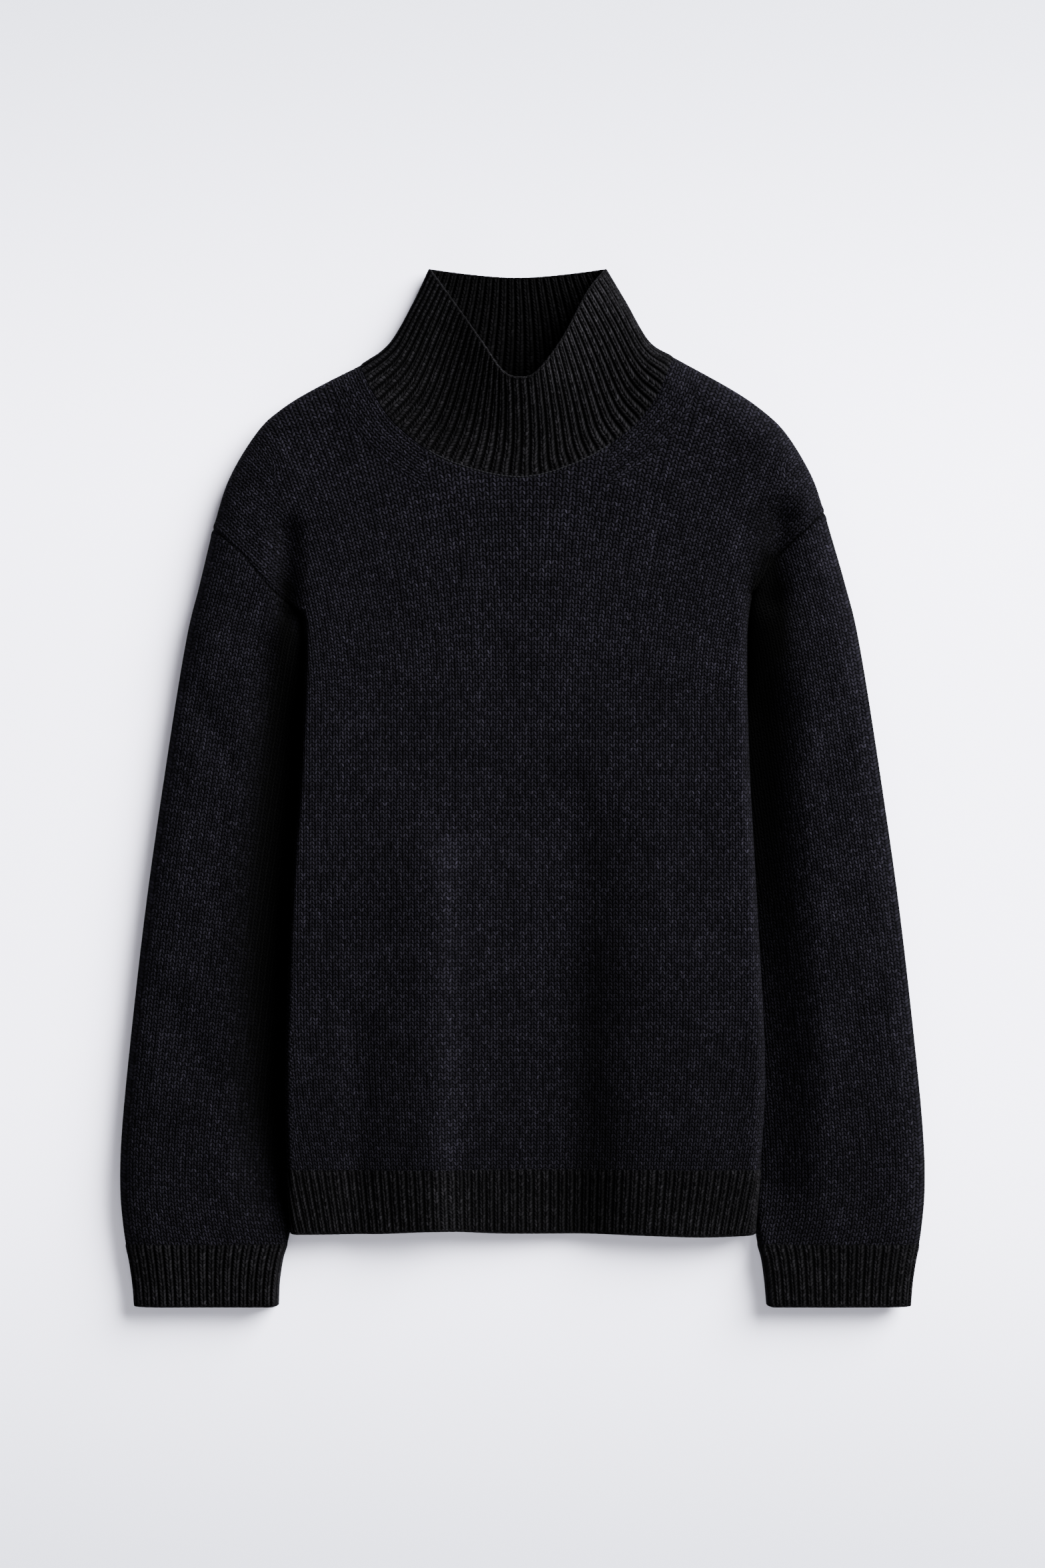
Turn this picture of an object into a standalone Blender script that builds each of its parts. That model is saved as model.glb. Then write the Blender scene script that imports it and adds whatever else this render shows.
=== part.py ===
"""Funnel-neck sweater in a chunky knit, laid on its back with both sleeves down.

Each panel is a wall of cloth of its own: front, back, two sleeves, two cuffs, a hem rib on
each panel, and the funnel collar. A sleeve is one length of knitting, built as two short
tubes that meet at the elbow. A wall starts as a flat slab whose corners run from 0 to 1
across, along and through the cloth. Every point of the slab is then moved to its place on
the garment. The top of the garment is one height field over the plan and the underside is
another, so pieces that share a seam meet there.

Plan sizes are in millimetres: +X to the garment's left as seen from above, +Y to the neck,
+Z up from the surface that it lies on.
"""
import bmesh
import bpy
import numpy as np
from collections import namedtuple

MM = 0.001

# --- driving sizes, mm -------------------------------------------------------------------
WALL = 2.5               # thickness of the knit
SEAM = 0.3               # gap between sewn pieces
ARMHOLE_GAP = 0.8        # the same down the sleeve, which leaves the seam at a slant
BODY_CROWN = 28.0        # height of the front above the surface
HEM_CROWN = 23.0         # height of the front at the open hem
SLEEVE_CROWN = 26.0      # height of the lower sleeves
CUFF_CROWN = 20.0        # height of the cuffs at their open ends
SIDE_HEIGHT = 13.0       # height of the folded outer edges
CORNER_HEIGHT = 8.0      # height of the collar's two top corners
INNER_HEIGHT = 4.5       # height of the sleeves' inner folds, under the body's edge
COLLAR_CROWN = 42.0      # height of the collar's front edge at its middle
COLLAR_SHOULDER = 20.0   # height of the collar's front edge close to the corners
ROLL = 24.0              # width over which the cloth rolls round an outer edge
INNER_ROLL = 5.0         # the same at a sleeve's inner fold
VALLEY = 48.0            # width of the slope from a sleeve's crown down to the body
UNDERARM_FADE = 75.0     # length over which that slope forms below the underarm
EDGE_SLACK = 0.01        # places this close to an outer edge count as on it

HEM_TOP = -275.0
HEM_END = -323.6
CHEST = 70.0             # below this line the columns of stitches run straight up
CUFF_TOP = -329.0
CUFF_END = -376.3

NECK_SHARE = 0.21        # share of a panel's columns that end on each shoulder
CHEST_SHARE = 0.62       # share of a panel's rows below the chest line
UNDERARM_SHARE = 0.36    # share of the rows above it that end below the underarm
TIP_LEAN = 62.0          # degrees from upright of the columns at the shoulder's tip
NECK_LEAN = 18.0         # and where the shoulder meets the neck

# --- outline tables, mm ------------------------------------------------------------------
Pair = namedtuple("Pair", "left_x left_y right_x right_y")
Edge = namedtuple("Edge", "y left right")
Point = namedtuple("Point", "x y")
Fold = namedtuple("Fold", "x_start y_start x_end y_end height width")

SHOULDER = [                                   # from the sleeve seam up to the neck
    Pair(-224.0, 187.0, 218.5, 199.0),
    Pair(-212.0, 224.0, 209.0, 226.0),
    Pair(-191.5, 258.0, 191.0, 256.0),
    Pair(-173.0, 275.0, 173.0, 273.5),
    Pair(-150.0, 289.0, 150.0, 289.0),
    Pair(-117.4, 305.5, 109.2, 311.5),
]
ARMHOLE = [                                    # from the underarm up to the shoulder's tip
    Pair(-159.0, 125.0, 166.0, 140.0),
    Pair(-180.0, 145.0, 183.0, 166.0),
    Pair(-200.6, 168.0, 200.0, 182.5),
    Pair(-224.0, 187.0, 218.5, 199.0),
]
UPPER_SIDE = [                                 # from the chest line up to the underarm
    Pair(-155.0, 70.0, 164.0, 70.0),
    Pair(-155.3, 105.0, 164.2, 115.0),
    Pair(-159.0, 125.0, 166.0, 140.0),
]
COLLAR_SIDE = [                                # from the neck point up to the top corner
    Pair(-117.4, 305.5, 109.2, 311.5),
    Pair(-95.0, 321.5, 92.2, 323.6),
    Pair(-78.0, 352.0, 76.0, 352.0),
    Pair(-67.5, 376.3, 60.3, 376.3),
]
BODY_SIDE = [
    Edge(-323.6, -166.0, 168.0),
    Edge(-275.0, -168.0, 172.0),
    Edge(-200.0, -168.3, 176.0),
    Edge(-80.0, -164.0, 169.0),
    Edge(0.0, -159.0, 165.5),
    Edge(70.0, -155.0, 164.0),
]
SLEEVE_OUTER = [                               # below the shoulder's tip, down to the cuff
    Edge(146.0, -233.8, 233.8),
    Edge(108.0, -243.0, 243.0),
    Edge(30.0, -255.8, 255.8),
    Edge(-86.0, -272.5, 272.5),
    Edge(-202.0, -285.6, 285.6),
    Edge(-272.0, -291.2, 291.2),
    Edge(-329.0, -287.0, 287.0),
]
SLEEVE_INNER = [                               # below the underarm, down to the cuff
    Edge(95.0, -157.0, 166.0),
    Edge(0.0, -160.0, 167.0),
    Edge(-80.0, -165.0, 171.0),
    Edge(-200.0, -169.5, 177.5),
    Edge(-275.0, -169.0, 174.0),
    Edge(-329.0, -170.5, 171.5),
]
CUFF_OUTER = [Edge(-352.0, -282.6, 282.6), Edge(-376.3, -280.7, 280.7)]
CUFF_INNER = [Edge(-352.0, -176.4, 175.2), Edge(-376.3, -177.0, 177.4)]
NECK_FRONT = [
    Point(-117.4, 305.5), Point(-106.7, 283.4), Point(-89.3, 260.0), Point(-54.9, 236.4),
    Point(-5.0, 224.0), Point(37.0, 233.5), Point(73.3, 255.0), Point(95.0, 279.5),
    Point(109.2, 311.5),
]
NECK_BACK = [Point(-117.4, 305.5), Point(-60.0, 293.0), Point(-4.0, 290.0),
             Point(52.0, 294.0), Point(109.2, 311.5)]
COLLAR_FRONT_EDGE = [
    Point(-67.5, 376.3), Point(-52.5, 357.0), Point(-31.0, 327.0), Point(-14.5, 303.5),
    Point(-1.0, 299.0), Point(11.0, 303.5), Point(29.0, 327.0), Point(47.0, 361.0),
    Point(60.3, 376.3),
]
COLLAR_BACK_EDGE = [Point(-67.5, 376.3), Point(-4.0, 370.7), Point(60.3, 376.3)]

FRONT_FOLDS = [                                # long soft folds that run up from the hem
    Fold(-60.0, -80.0, -63.0, -330.0, 5.0, 13.0),
    Fold(52.0, -30.0, 60.0, -330.0, -7.0, 24.0),
    Fold(-108.0, -190.0, -112.0, -300.0, -2.5, 12.0),
]
UNDERARM_FOLDS = [                             # creases that run up from each underarm
    Fold(-163.0, 184.0, -160.0, 128.0, -10.0, 11.0),
    Fold(175.0, 196.0, 167.0, 142.0, -10.0, 11.0),
]
SLEEVE_FOLDS = [
    Fold(-238.0, 70.0, -214.0, 20.0, -2.5, 12.0),
    Fold(-262.0, -150.0, -228.0, -205.0, -2.5, 14.0),
    Fold(240.0, 55.0, 216.0, 5.0, -2.5, 12.0),
    Fold(268.0, -110.0, 232.0, -170.0, -2.5, 14.0),
]

# --- how finely each wall is divided -------------------------------------------------------
SHOULDER_COLUMNS = [0.0, 0.006, 0.024, 0.054, 0.095, 0.15]
NECK_COLUMNS = 18
BODY_ROWS = 8
ARMHOLE_ROWS = 10
ELBOW_SHARE = 0.5        # share of a sleeve's length above its elbow
ELBOW_ROWS = 8           # divisions on each side of the elbow
COLLAR_ROWS = 8


def ease(share):
    """Go from 0 to 1 with a level start and a level end."""
    share = np.clip(share, 0.0, 1.0)
    return share * share * (3.0 - 2.0 * share)


def roll(gap, width):
    """Rise from 0 at an outer edge to 1 at `width` from it, round as a quarter ellipse."""
    share = np.clip((gap - EDGE_SLACK) / width, 0.0, 1.0)
    return np.sqrt(1.0 - (1.0 - share) ** 2)


def even_cosine(steps):
    """Shares from 0 to 1 that lie closer together towards both ends."""
    return (1.0 - np.cos(np.pi * np.arange(steps + 1) / steps)) / 2.0


def smooth_line(points, fineness=12):
    """Run a smooth line through plan points and return a function of its share, 0 to 1."""
    points = np.array(points, dtype=float)
    first = 2.0 * points[0] - points[1]
    last = 2.0 * points[-1] - points[-2]
    ends = np.vstack([first, points, last])
    steps = (np.arange(fineness) / fineness)[:, None]
    spans = []
    for a, b, c, d in zip(ends, ends[1:], ends[2:], ends[3:]):
        cubic = 3.0 * b - a - 3.0 * c + d
        square = 2.0 * a - 5.0 * b + 4.0 * c - d
        spans.append(b + 0.5 * ((c - a) * steps + square * steps ** 2 + cubic * steps ** 3))
    fine = np.vstack(spans + [points[-1]])
    travelled = np.concatenate([[0.0], np.cumsum(np.hypot(*np.diff(fine, axis=0).T))])
    shares = travelled / travelled[-1]

    def at(share):
        return np.stack([np.interp(share, shares, fine[:, axis]) for axis in (0, 1)], axis=-1)

    return at


def gap_to(lines, place):
    """Plan distance from each place to the nearest of some sampled lines."""
    nearest = np.full(len(place), np.inf)
    for line in lines:
        start, run = line[:-1], np.diff(line, axis=0)
        for begin, step in zip(start, run):
            along = np.clip(((place - begin) @ step) / (step @ step), 0.0, 1.0)
            miss = place - begin - along[:, None] * step
            nearest = np.minimum(nearest, np.hypot(miss[:, 0], miss[:, 1]))
    return nearest


def left(rows):
    """The garment's -X line of a table."""
    return [(row[0], row[1]) if len(row) == 4 else (row.left, row.y) for row in rows]


def right(rows):
    """The garment's +X line of a table."""
    return [(row[2], row[3]) if len(row) == 4 else (row.right, row.y) for row in rows]


def both(*tables):
    """One smooth line for each half, through the rows of the tables in turn."""
    halves = []
    for half in (left, right):
        points = [point for table in tables for point in half(table)]
        distinct = [p for n, p in enumerate(points) if n == 0 or p != points[n - 1]]
        halves.append(smooth_line(distinct))
    return halves


def above_and_below(line, level):
    """Cut a line that runs down the garment where it crosses a level, into two lines."""
    fine = np.linspace(0.0, 1.0, 400)
    cut = np.interp(-level, -line(fine)[:, 1], fine)

    def above(share):
        return line(cut * share)

    def below(share):
        return line(cut + (1.0 - cut) * share)

    return above, below


SHOULDER_LINE = both(SHOULDER)
ARMHOLE_LINE = both(ARMHOLE)
UPPER_SIDE_LINE = both(UPPER_SIDE)
BODY_SIDE_LINE = both(BODY_SIDE)
COLLAR_SIDE_LINE = both(COLLAR_SIDE)
OUTER_LINE = both([SHOULDER[0]], SLEEVE_OUTER, CUFF_OUTER)
INNER_LINE = both([ARMHOLE[0]], SLEEVE_INNER, CUFF_INNER)
NECK_FRONT_LINE = smooth_line(NECK_FRONT)
NECK_BACK_LINE = smooth_line(NECK_BACK)
FRONT_EDGE_LINE = smooth_line(COLLAR_FRONT_EDGE)
BACK_EDGE_LINE = smooth_line(COLLAR_BACK_EDGE)

SAMPLES = np.linspace(0.0, 1.0, 160)
OUTLINE = [line(SAMPLES) for line in
           SHOULDER_LINE + COLLAR_SIDE_LINE + OUTER_LINE]
BODY_EDGES = [line(SAMPLES) for line in BODY_SIDE_LINE + UPPER_SIDE_LINE]
SLEEVE_EDGES = [line(SAMPLES) for line in INNER_LINE]


def fold_height(folds, place):
    """Sum of the soft folds at each place: each is highest on its line and fades from it."""
    total = np.zeros(len(place))
    for fold in folds:
        line = np.array([(fold.x_start, fold.y_start), (fold.x_end, fold.y_end)])
        total += fold.height * np.exp(-(gap_to([line], place) / fold.width) ** 2)
    return total


def edge_height(place):
    """Height of the folded outer edge level with each place: lower at the collar's top."""
    neck = COLLAR_SIDE[0].left_y
    top = COLLAR_SIDE[-1].left_y
    return SIDE_HEIGHT + (CORNER_HEIGHT - SIDE_HEIGHT) * ease((place[:, 1] - neck) / (top - neck))


def body_heights(place):
    """Top and underside of the body at each place."""
    rise = roll(gap_to(BODY_EDGES, place), ROLL) * roll(gap_to(OUTLINE, place), ROLL)
    drop = ease((HEM_TOP + 60.0 - place[:, 1]) / (HEM_TOP + 60.0 - HEM_END))
    crown = BODY_CROWN + (HEM_CROWN - BODY_CROWN) * drop
    crown = crown + fold_height(FRONT_FOLDS + UNDERARM_FOLDS, place)
    edge = edge_height(place)
    return edge + SEAM / 2.0 + (crown - edge) * rise, (edge - SEAM / 2.0) * (1.0 - rise)


def sleeve_heights(place):
    """Top and underside of the sleeves: the same as the body's at the armhole, and below it
    a long slope down to the inner fold, which slips under the body's edge."""
    y = place[:, 1]
    formed = ease((ARMHOLE[0].left_y - y) / UNDERARM_FADE)
    inner_gap = gap_to(SLEEVE_EDGES, place)
    inner_edge = SIDE_HEIGHT + (INNER_HEIGHT - SIDE_HEIGHT) * formed
    fold_rise = roll(inner_gap, ROLL + (INNER_ROLL - ROLL) * formed)
    slope = 0.25 * fold_rise + 0.75 * ease(inner_gap / VALLEY)
    inner_rise = fold_rise + (slope - fold_rise) * formed
    outer_rise = roll(gap_to(OUTLINE, place), ROLL)
    crown = BODY_CROWN + (SLEEVE_CROWN - BODY_CROWN) * formed
    crown = crown + (CUFF_CROWN - SLEEVE_CROWN) * ease((CUFF_TOP + 60.0 - y) / 107.0)
    crown = crown + fold_height(SLEEVE_FOLDS + UNDERARM_FOLDS, place)
    top = inner_edge + (SIDE_HEIGHT - inner_edge) * inner_rise
    top = top + (crown - SIDE_HEIGHT) * outer_rise * inner_rise
    under = inner_edge * (1.0 - fold_rise) + SIDE_HEIGHT * (1.0 - outer_rise) * fold_rise
    return top, under


def collar_heights(place, along, across):
    """Top and underside of the collar: its front rises to the open edge."""
    lip = COLLAR_SHOULDER + (COLLAR_CROWN - COLLAR_SHOULDER) * np.sin(np.pi * across)
    crown = BODY_CROWN + (lip - BODY_CROWN) * along
    rise = roll(gap_to(OUTLINE, place), ROLL)
    edge = edge_height(place)
    return edge + (crown - edge) * rise, edge * (1.0 - rise)


def mix(start, end, share):
    """Go from one plan place to another."""
    return start + (end - start) * np.asarray(share)[..., None]


def bezier(start, handle_a, handle_b, end, share):
    """A cubic curve between two plan places."""
    s = share[:, None]
    return ((1 - s) ** 3 * start + 3 * (1 - s) ** 2 * s * handle_a
            + 3 * (1 - s) * s ** 2 * handle_b + s ** 3 * end)


def panel_plan(across, along, neck_line):
    """Plan of the front or the back: columns run straight up from the hem to the chest
    line, then fan out to the shoulders and up to the neck."""
    low = np.clip(along / CHEST_SHARE, 0.0, 1.0)
    y_low = HEM_TOP + (CHEST - HEM_TOP) * low
    edge_left, edge_right = (side_x(line, y_low) for line in BODY_SIDE_LINE)
    straight = np.stack([edge_left + (edge_right - edge_left) * across, y_low], axis=-1)

    high = np.clip((along - CHEST_SHARE) / (1.0 - CHEST_SHARE), 0.0, 1.0)
    top = panel_top(across, neck_line)
    reach = np.hypot(*(top - straight).T)[:, None]
    sideways = 2.0 * across - 1.0
    outside = (np.abs(sideways) - (1.0 - 2.0 * NECK_SHARE)) / (2.0 * NECK_SHARE)
    lean = np.where(outside > 0.0, NECK_LEAN + (TIP_LEAN - NECK_LEAN) * outside,
                    NECK_LEAN * np.abs(sideways) / (1.0 - 2.0 * NECK_SHARE))
    lean = np.radians(lean) * np.sign(sideways)
    fan = np.stack([np.sin(lean), np.cos(lean)], axis=-1)
    upright = np.array([0.0, 1.0])

    def column(start, end, length, direction):
        return bezier(start, start + 0.42 * length * upright,
                      end - 0.42 * length * direction, end, high)

    place = column(straight, top, reach, fan)
    for half, side in enumerate((0.0, 1.0)):
        near = np.full(len(across), side)
        corner = UPPER_SIDE_LINE[half](np.zeros(1))
        tip = SHOULDER_LINE[half](np.zeros(1))
        tilt = np.radians(TIP_LEAN) * (2.0 * side - 1.0)
        edge_fan = np.array([[np.sin(tilt), np.cos(tilt)]])
        length = np.hypot(*(tip - corner).T)[:, None]
        drawn = column(corner, tip, length, edge_fan)
        wanted = panel_side(half, high)
        pull = np.clip(1.0 - np.abs(across - near) / 0.3, 0.0, 1.0) ** 2
        place = place + (wanted - drawn) * pull[:, None]
    return np.where((along <= CHEST_SHARE)[:, None], straight, place)


def side_x(line, y):
    """The x of a body side at each y."""
    fine = line(np.linspace(0.0, 1.0, 120))
    return np.interp(y, fine[:, 1], fine[:, 0])


def panel_side(half, high):
    """A panel's side above the chest line: up to the underarm, then along the armhole."""
    lower = UPPER_SIDE_LINE[half](np.clip(high / UNDERARM_SHARE, 0.0, 1.0))
    upper = ARMHOLE_LINE[half](np.clip((high - UNDERARM_SHARE) / (1.0 - UNDERARM_SHARE), 0.0, 1.0))
    return np.where((high < UNDERARM_SHARE)[:, None], lower, upper)


def panel_top(across, neck_line):
    """A panel's top: a shoulder, the neck seam and the other shoulder."""
    left_shoulder = SHOULDER_LINE[0](np.clip(across / NECK_SHARE, 0.0, 1.0))
    right_shoulder = SHOULDER_LINE[1](np.clip((1.0 - across) / NECK_SHARE, 0.0, 1.0))
    neck = neck_line(np.clip((across - NECK_SHARE) / (1.0 - 2.0 * NECK_SHARE), 0.0, 1.0))
    outer = np.where((across < 0.5)[:, None], left_shoulder, right_shoulder)
    on_shoulder = (across < NECK_SHARE) | (across > 1.0 - NECK_SHARE)
    return np.where(on_shoulder[:, None], outer, neck)


def stack(place, height):
    """Plan places and their heights as points."""
    return np.column_stack([place, height])


def front_panel(across, along):
    place = panel_plan(across, along, NECK_FRONT_LINE)
    return stack(place, body_heights(place)[0])


def back_panel(across, along):
    place = panel_plan(across, along, NECK_BACK_LINE)
    return stack(place, body_heights(place)[1])


def hem_plan(across, along):
    y = HEM_END + (HEM_TOP - SEAM - HEM_END) * along
    edge_left, edge_right = (side_x(line, y) for line in BODY_SIDE_LINE)
    return np.stack([edge_left + (edge_right - edge_left) * across, y], axis=-1)


def front_hem(across, along):
    place = hem_plan(across, along)
    return stack(place, body_heights(place)[0])


def back_hem(across, along):
    place = hem_plan(across, along)
    return stack(place, body_heights(place)[1])


def tube_share(around):
    """Share across a flattened tube: 0 to 1 over its top, then 1 to 0 under it."""
    return (1.0 - np.cos(2.0 * np.pi * around)) / 2.0


def sleeve(half):
    """One sleeve, from the armhole to the cuff."""
    inner_line = above_and_below(INNER_LINE[half], CUFF_TOP)[0]
    outer_line = above_and_below(OUTER_LINE[half], CUFF_TOP)[0]
    start_gap = ARMHOLE_GAP / (ARMHOLE[0].left_y - CUFF_TOP)

    def skin(around, along):
        around = around % 1.0
        share = tube_share(around)
        down = start_gap + (1.0 - start_gap) * along
        inner, outer = inner_line(down), outer_line(down)
        origin = np.zeros(len(down))
        chord = mix(inner_line(origin), outer_line(origin), share)
        bow = (ARMHOLE_LINE[half](share) - chord) * ((1.0 - down) ** 4)[:, None]
        place = mix(inner, outer, share) + bow
        top, under = sleeve_heights(place)
        return stack(place, np.where(around <= 0.5, top, under))

    return skin


def cuff(half):
    """One ribbed cuff, from the sleeve's end to its open end."""
    inner_line = above_and_below(INNER_LINE[half], CUFF_TOP)[1]
    outer_line = above_and_below(OUTER_LINE[half], CUFF_TOP)[1]
    start_gap = SEAM / (CUFF_TOP - CUFF_END)

    def skin(around, along):
        around = around % 1.0
        share = tube_share(around)
        down = start_gap + (1.0 - start_gap) * along
        place = mix(inner_line(down), outer_line(down), share)
        top, under = sleeve_heights(place)
        return stack(place, np.where(around <= 0.5, top, under))

    return skin


def funnel_collar(around, along):
    """The collar: a tube from the neck seam up to its open edge, which dips at the front."""
    around = around % 1.0
    share = tube_share(around)
    up = SEAM / 75.0 + (1.0 - SEAM / 75.0) * along
    on_front = (around <= 0.5)[:, None]
    base = np.where(on_front, NECK_FRONT_LINE(share), NECK_BACK_LINE(share))
    edge = np.where(on_front, FRONT_EDGE_LINE(share), BACK_EDGE_LINE(share))
    sides = [line(up) for line in COLLAR_SIDE_LINE]
    feet = [line(np.zeros(len(up))) for line in COLLAR_SIDE_LINE]
    heads = [line(np.ones(len(up))) for line in COLLAR_SIDE_LINE]
    bulges = [side - mix(foot, head, up) for side, foot, head in zip(sides, feet, heads)]
    place = mix(base, edge, up) + mix(bulges[0], bulges[1], share)
    top, under = collar_heights(place, up, share)
    return stack(place, np.where(around <= 0.5, top, under))


def normals(skin, across, along, closed):
    """Outward directions of a skin, from short steps along it."""
    step = 1e-4
    if closed:
        reach = 0.01
        low, high = across - reach, across + reach
    else:
        low, high = np.clip(across - step, 0.0, 1.0), np.clip(across + step, 0.0, 1.0)
    sideways = skin(high, along) - skin(low, along)
    upward = skin(across, np.clip(along + step, 0, 1)) - skin(across, np.clip(along - step, 0, 1))
    facing = np.cross(sideways, upward)
    return facing / np.linalg.norm(facing, axis=1)[:, None]


def cloth_wall(name, skin, columns, rows, material, faces_down=False, closed=False):
    """Build one panel: a slab of columns by rows, moved onto its skin and WALL thick.
    `columns` and `rows` are the shares, 0 to 1, at which the slab is divided. An open panel
    stays on its own side of the level where its folded edges are sewn to its fellow."""
    mesh = bpy.data.meshes.new(name)
    bm = bmesh.new()
    bmesh.ops.create_grid(bm, x_segments=len(columns) - 1, y_segments=len(rows) - 1, size=0.5)
    bmesh.ops.translate(bm, verts=bm.verts[:], vec=(0.5, 0.5, 0.0))
    lifted = bmesh.ops.extrude_face_region(bm, geom=bm.faces[:], use_keep_orig=True)
    new_points = [part for part in lifted["geom"] if isinstance(part, bmesh.types.BMVert)]
    bmesh.ops.translate(bm, verts=new_points, vec=(0.0, 0.0, 1.0))
    bmesh.ops.recalc_face_normals(bm, faces=bm.faces[:])
    if closed:
        ends = [face for face in bm.faces if abs(face.normal.x) > 0.5]
        bmesh.ops.delete(bm, geom=ends, context="FACES_ONLY")

    slab = np.array([point.co for point in bm.verts])
    across = np.interp(slab[:, 0], np.linspace(0.0, 1.0, len(columns)), columns)
    along = np.interp(slab[:, 1], np.linspace(0.0, 1.0, len(rows)), rows)
    outside = skin(across, along)
    facing = normals(skin, across, along, closed)
    if faces_down:
        facing = -facing
    shape = outside - slab[:, 2:] * WALL * facing
    if not closed:
        seam_level = edge_height(shape)
        if faces_down:
            shape[:, 2] = np.minimum(shape[:, 2], seam_level - SEAM / 2.0)
        else:
            shape[:, 2] = np.maximum(shape[:, 2], seam_level + SEAM / 2.0)
    for point, place in zip(bm.verts, shape * MM):
        point.co = place
    if closed:
        bmesh.ops.remove_doubles(bm, verts=bm.verts[:], dist=1e-6)
    if bm.calc_volume(signed=True) < 0.0:
        bmesh.ops.reverse_faces(bm, faces=bm.faces[:])
    bm.to_mesh(mesh)
    bm.free()
    mesh.shade_smooth()
    mesh.set_sharp_from_angle(angle=np.radians(50.0))
    mesh.materials.append(material)
    piece = bpy.data.objects.new(name, mesh)
    GARMENT.objects.link(piece)
    return piece


def knit_material(name, colour, roughness):
    """A plain yarn colour."""
    material = bpy.data.materials.new(name)
    material.use_nodes = True
    shader = material.node_tree.nodes["Principled BSDF"]
    shader.inputs["Base Color"].default_value = (*colour, 1.0)
    shader.inputs["Roughness"].default_value = roughness
    shader.inputs["Metallic"].default_value = 0.0
    return material


for old in list(bpy.data.objects):
    bpy.data.objects.remove(old)
GARMENT = bpy.data.collections.new("funnel_neck_sweater")
bpy.context.scene.collection.children.link(GARMENT)

STOCKINETTE = knit_material("charcoal_stockinette", (0.012, 0.012, 0.014), 0.9)
RIB = knit_material("charcoal_rib", (0.010, 0.010, 0.012), 0.9)

neck = NECK_SHARE + (1.0 - 2.0 * NECK_SHARE) * even_cosine(NECK_COLUMNS)
shoulder = np.array(SHOULDER_COLUMNS)
panel_columns = np.concatenate([shoulder, neck, (1.0 - shoulder)[::-1]])
low_rows = CHEST_SHARE * np.arange(BODY_ROWS + 1) / BODY_ROWS
arm_rows = UNDERARM_SHARE + (1.0 - UNDERARM_SHARE) * even_cosine(ARMHOLE_ROWS)
side_rows = UNDERARM_SHARE * np.array([0.35, 0.7])
high_rows = CHEST_SHARE + (1.0 - CHEST_SHARE) * np.concatenate([side_rows, arm_rows])
panel_rows = np.concatenate([low_rows, high_rows])
armhole_columns = np.linspace(0.0, 1.0, 2 * ARMHOLE_ROWS + 1)
elbow_gap = SEAM / (ARMHOLE[0].left_y - CUFF_TOP)
upper_arm_rows = np.linspace(0.0, ELBOW_SHARE - elbow_gap / 2.0, ELBOW_ROWS + 1)
forearm_rows = np.linspace(ELBOW_SHARE + elbow_gap / 2.0, 1.0, ELBOW_ROWS + 1)
collar_columns = np.linspace(0.0, 1.0, 2 * NECK_COLUMNS + 1)

cloth_wall("front_panel", front_panel, panel_columns, panel_rows, STOCKINETTE)
cloth_wall("back_panel", back_panel, panel_columns, panel_rows, STOCKINETTE, faces_down=True)
cloth_wall("hem_rib_front", front_hem, panel_columns, np.linspace(0.0, 1.0, 3), RIB)
cloth_wall("hem_rib_back", back_hem, panel_columns, np.linspace(0.0, 1.0, 3), RIB,
           faces_down=True)
for half, side in enumerate(("left", "right")):
    mirrored = side == "left"
    cloth_wall("sleeve_" + side + "_upper", sleeve(half), armhole_columns, upper_arm_rows,
               STOCKINETTE, not mirrored, closed=True)
    cloth_wall("sleeve_" + side + "_lower", sleeve(half), armhole_columns, forearm_rows,
               STOCKINETTE, not mirrored, closed=True)
    cloth_wall("cuff_" + side, cuff(half), armhole_columns, np.linspace(0.0, 1.0, 3), RIB,
               not mirrored, closed=True)
cloth_wall("funnel_collar", funnel_collar, collar_columns,
           np.linspace(0.0, 1.0, COLLAR_ROWS + 1), RIB, closed=True)
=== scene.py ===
# %% [markdown]
# # A funnel-neck sweater in chunky charcoal wool, laid flat
#
# The real garment is fully fashioned: every panel is knitted to shape and the panels are
# linked together, stitch by stitch. The body and the sleeves are stockinette, whose face
# shows columns of small V stitches. The hem, the cuffs and the collar are single rib, where
# one column of V stitches stands up and the next one sinks back into a dark groove.
#
# This lesson builds each panel as a thin shell of cloth on the construction model's form.
# Ribs, folds, seams and rolled edges are modelled. The single stitches are too many to model,
# so they are drawn by one procedural material that follows each panel's own stitch map.

# %% Load the construction model
from collections import namedtuple

import bmesh
import bpy
import numpy as np
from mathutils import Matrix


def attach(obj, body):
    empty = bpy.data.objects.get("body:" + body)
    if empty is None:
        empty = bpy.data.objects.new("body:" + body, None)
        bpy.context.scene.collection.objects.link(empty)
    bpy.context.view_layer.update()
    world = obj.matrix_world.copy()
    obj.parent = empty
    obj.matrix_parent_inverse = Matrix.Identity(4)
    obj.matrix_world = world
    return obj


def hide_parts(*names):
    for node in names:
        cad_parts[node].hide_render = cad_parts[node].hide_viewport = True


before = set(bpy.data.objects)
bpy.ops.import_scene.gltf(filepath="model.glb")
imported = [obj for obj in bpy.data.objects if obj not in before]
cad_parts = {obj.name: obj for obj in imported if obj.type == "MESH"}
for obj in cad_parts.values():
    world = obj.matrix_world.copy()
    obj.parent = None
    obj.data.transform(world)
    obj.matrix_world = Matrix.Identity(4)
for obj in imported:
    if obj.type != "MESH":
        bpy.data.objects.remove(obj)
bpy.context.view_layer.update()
MM = 0.001

# %% [markdown]
# ## The plan of the garment
#
# A shell must lie where the construction model lies, so it is drawn from the same few plan
# tables, in millimetres. Each table has one row for each place where an edge turns, and a
# smooth line runs through the rows. Tracing the model's own facets would also work, but the
# facets are coarse, and ribs and seams need a smooth line to follow.

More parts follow.
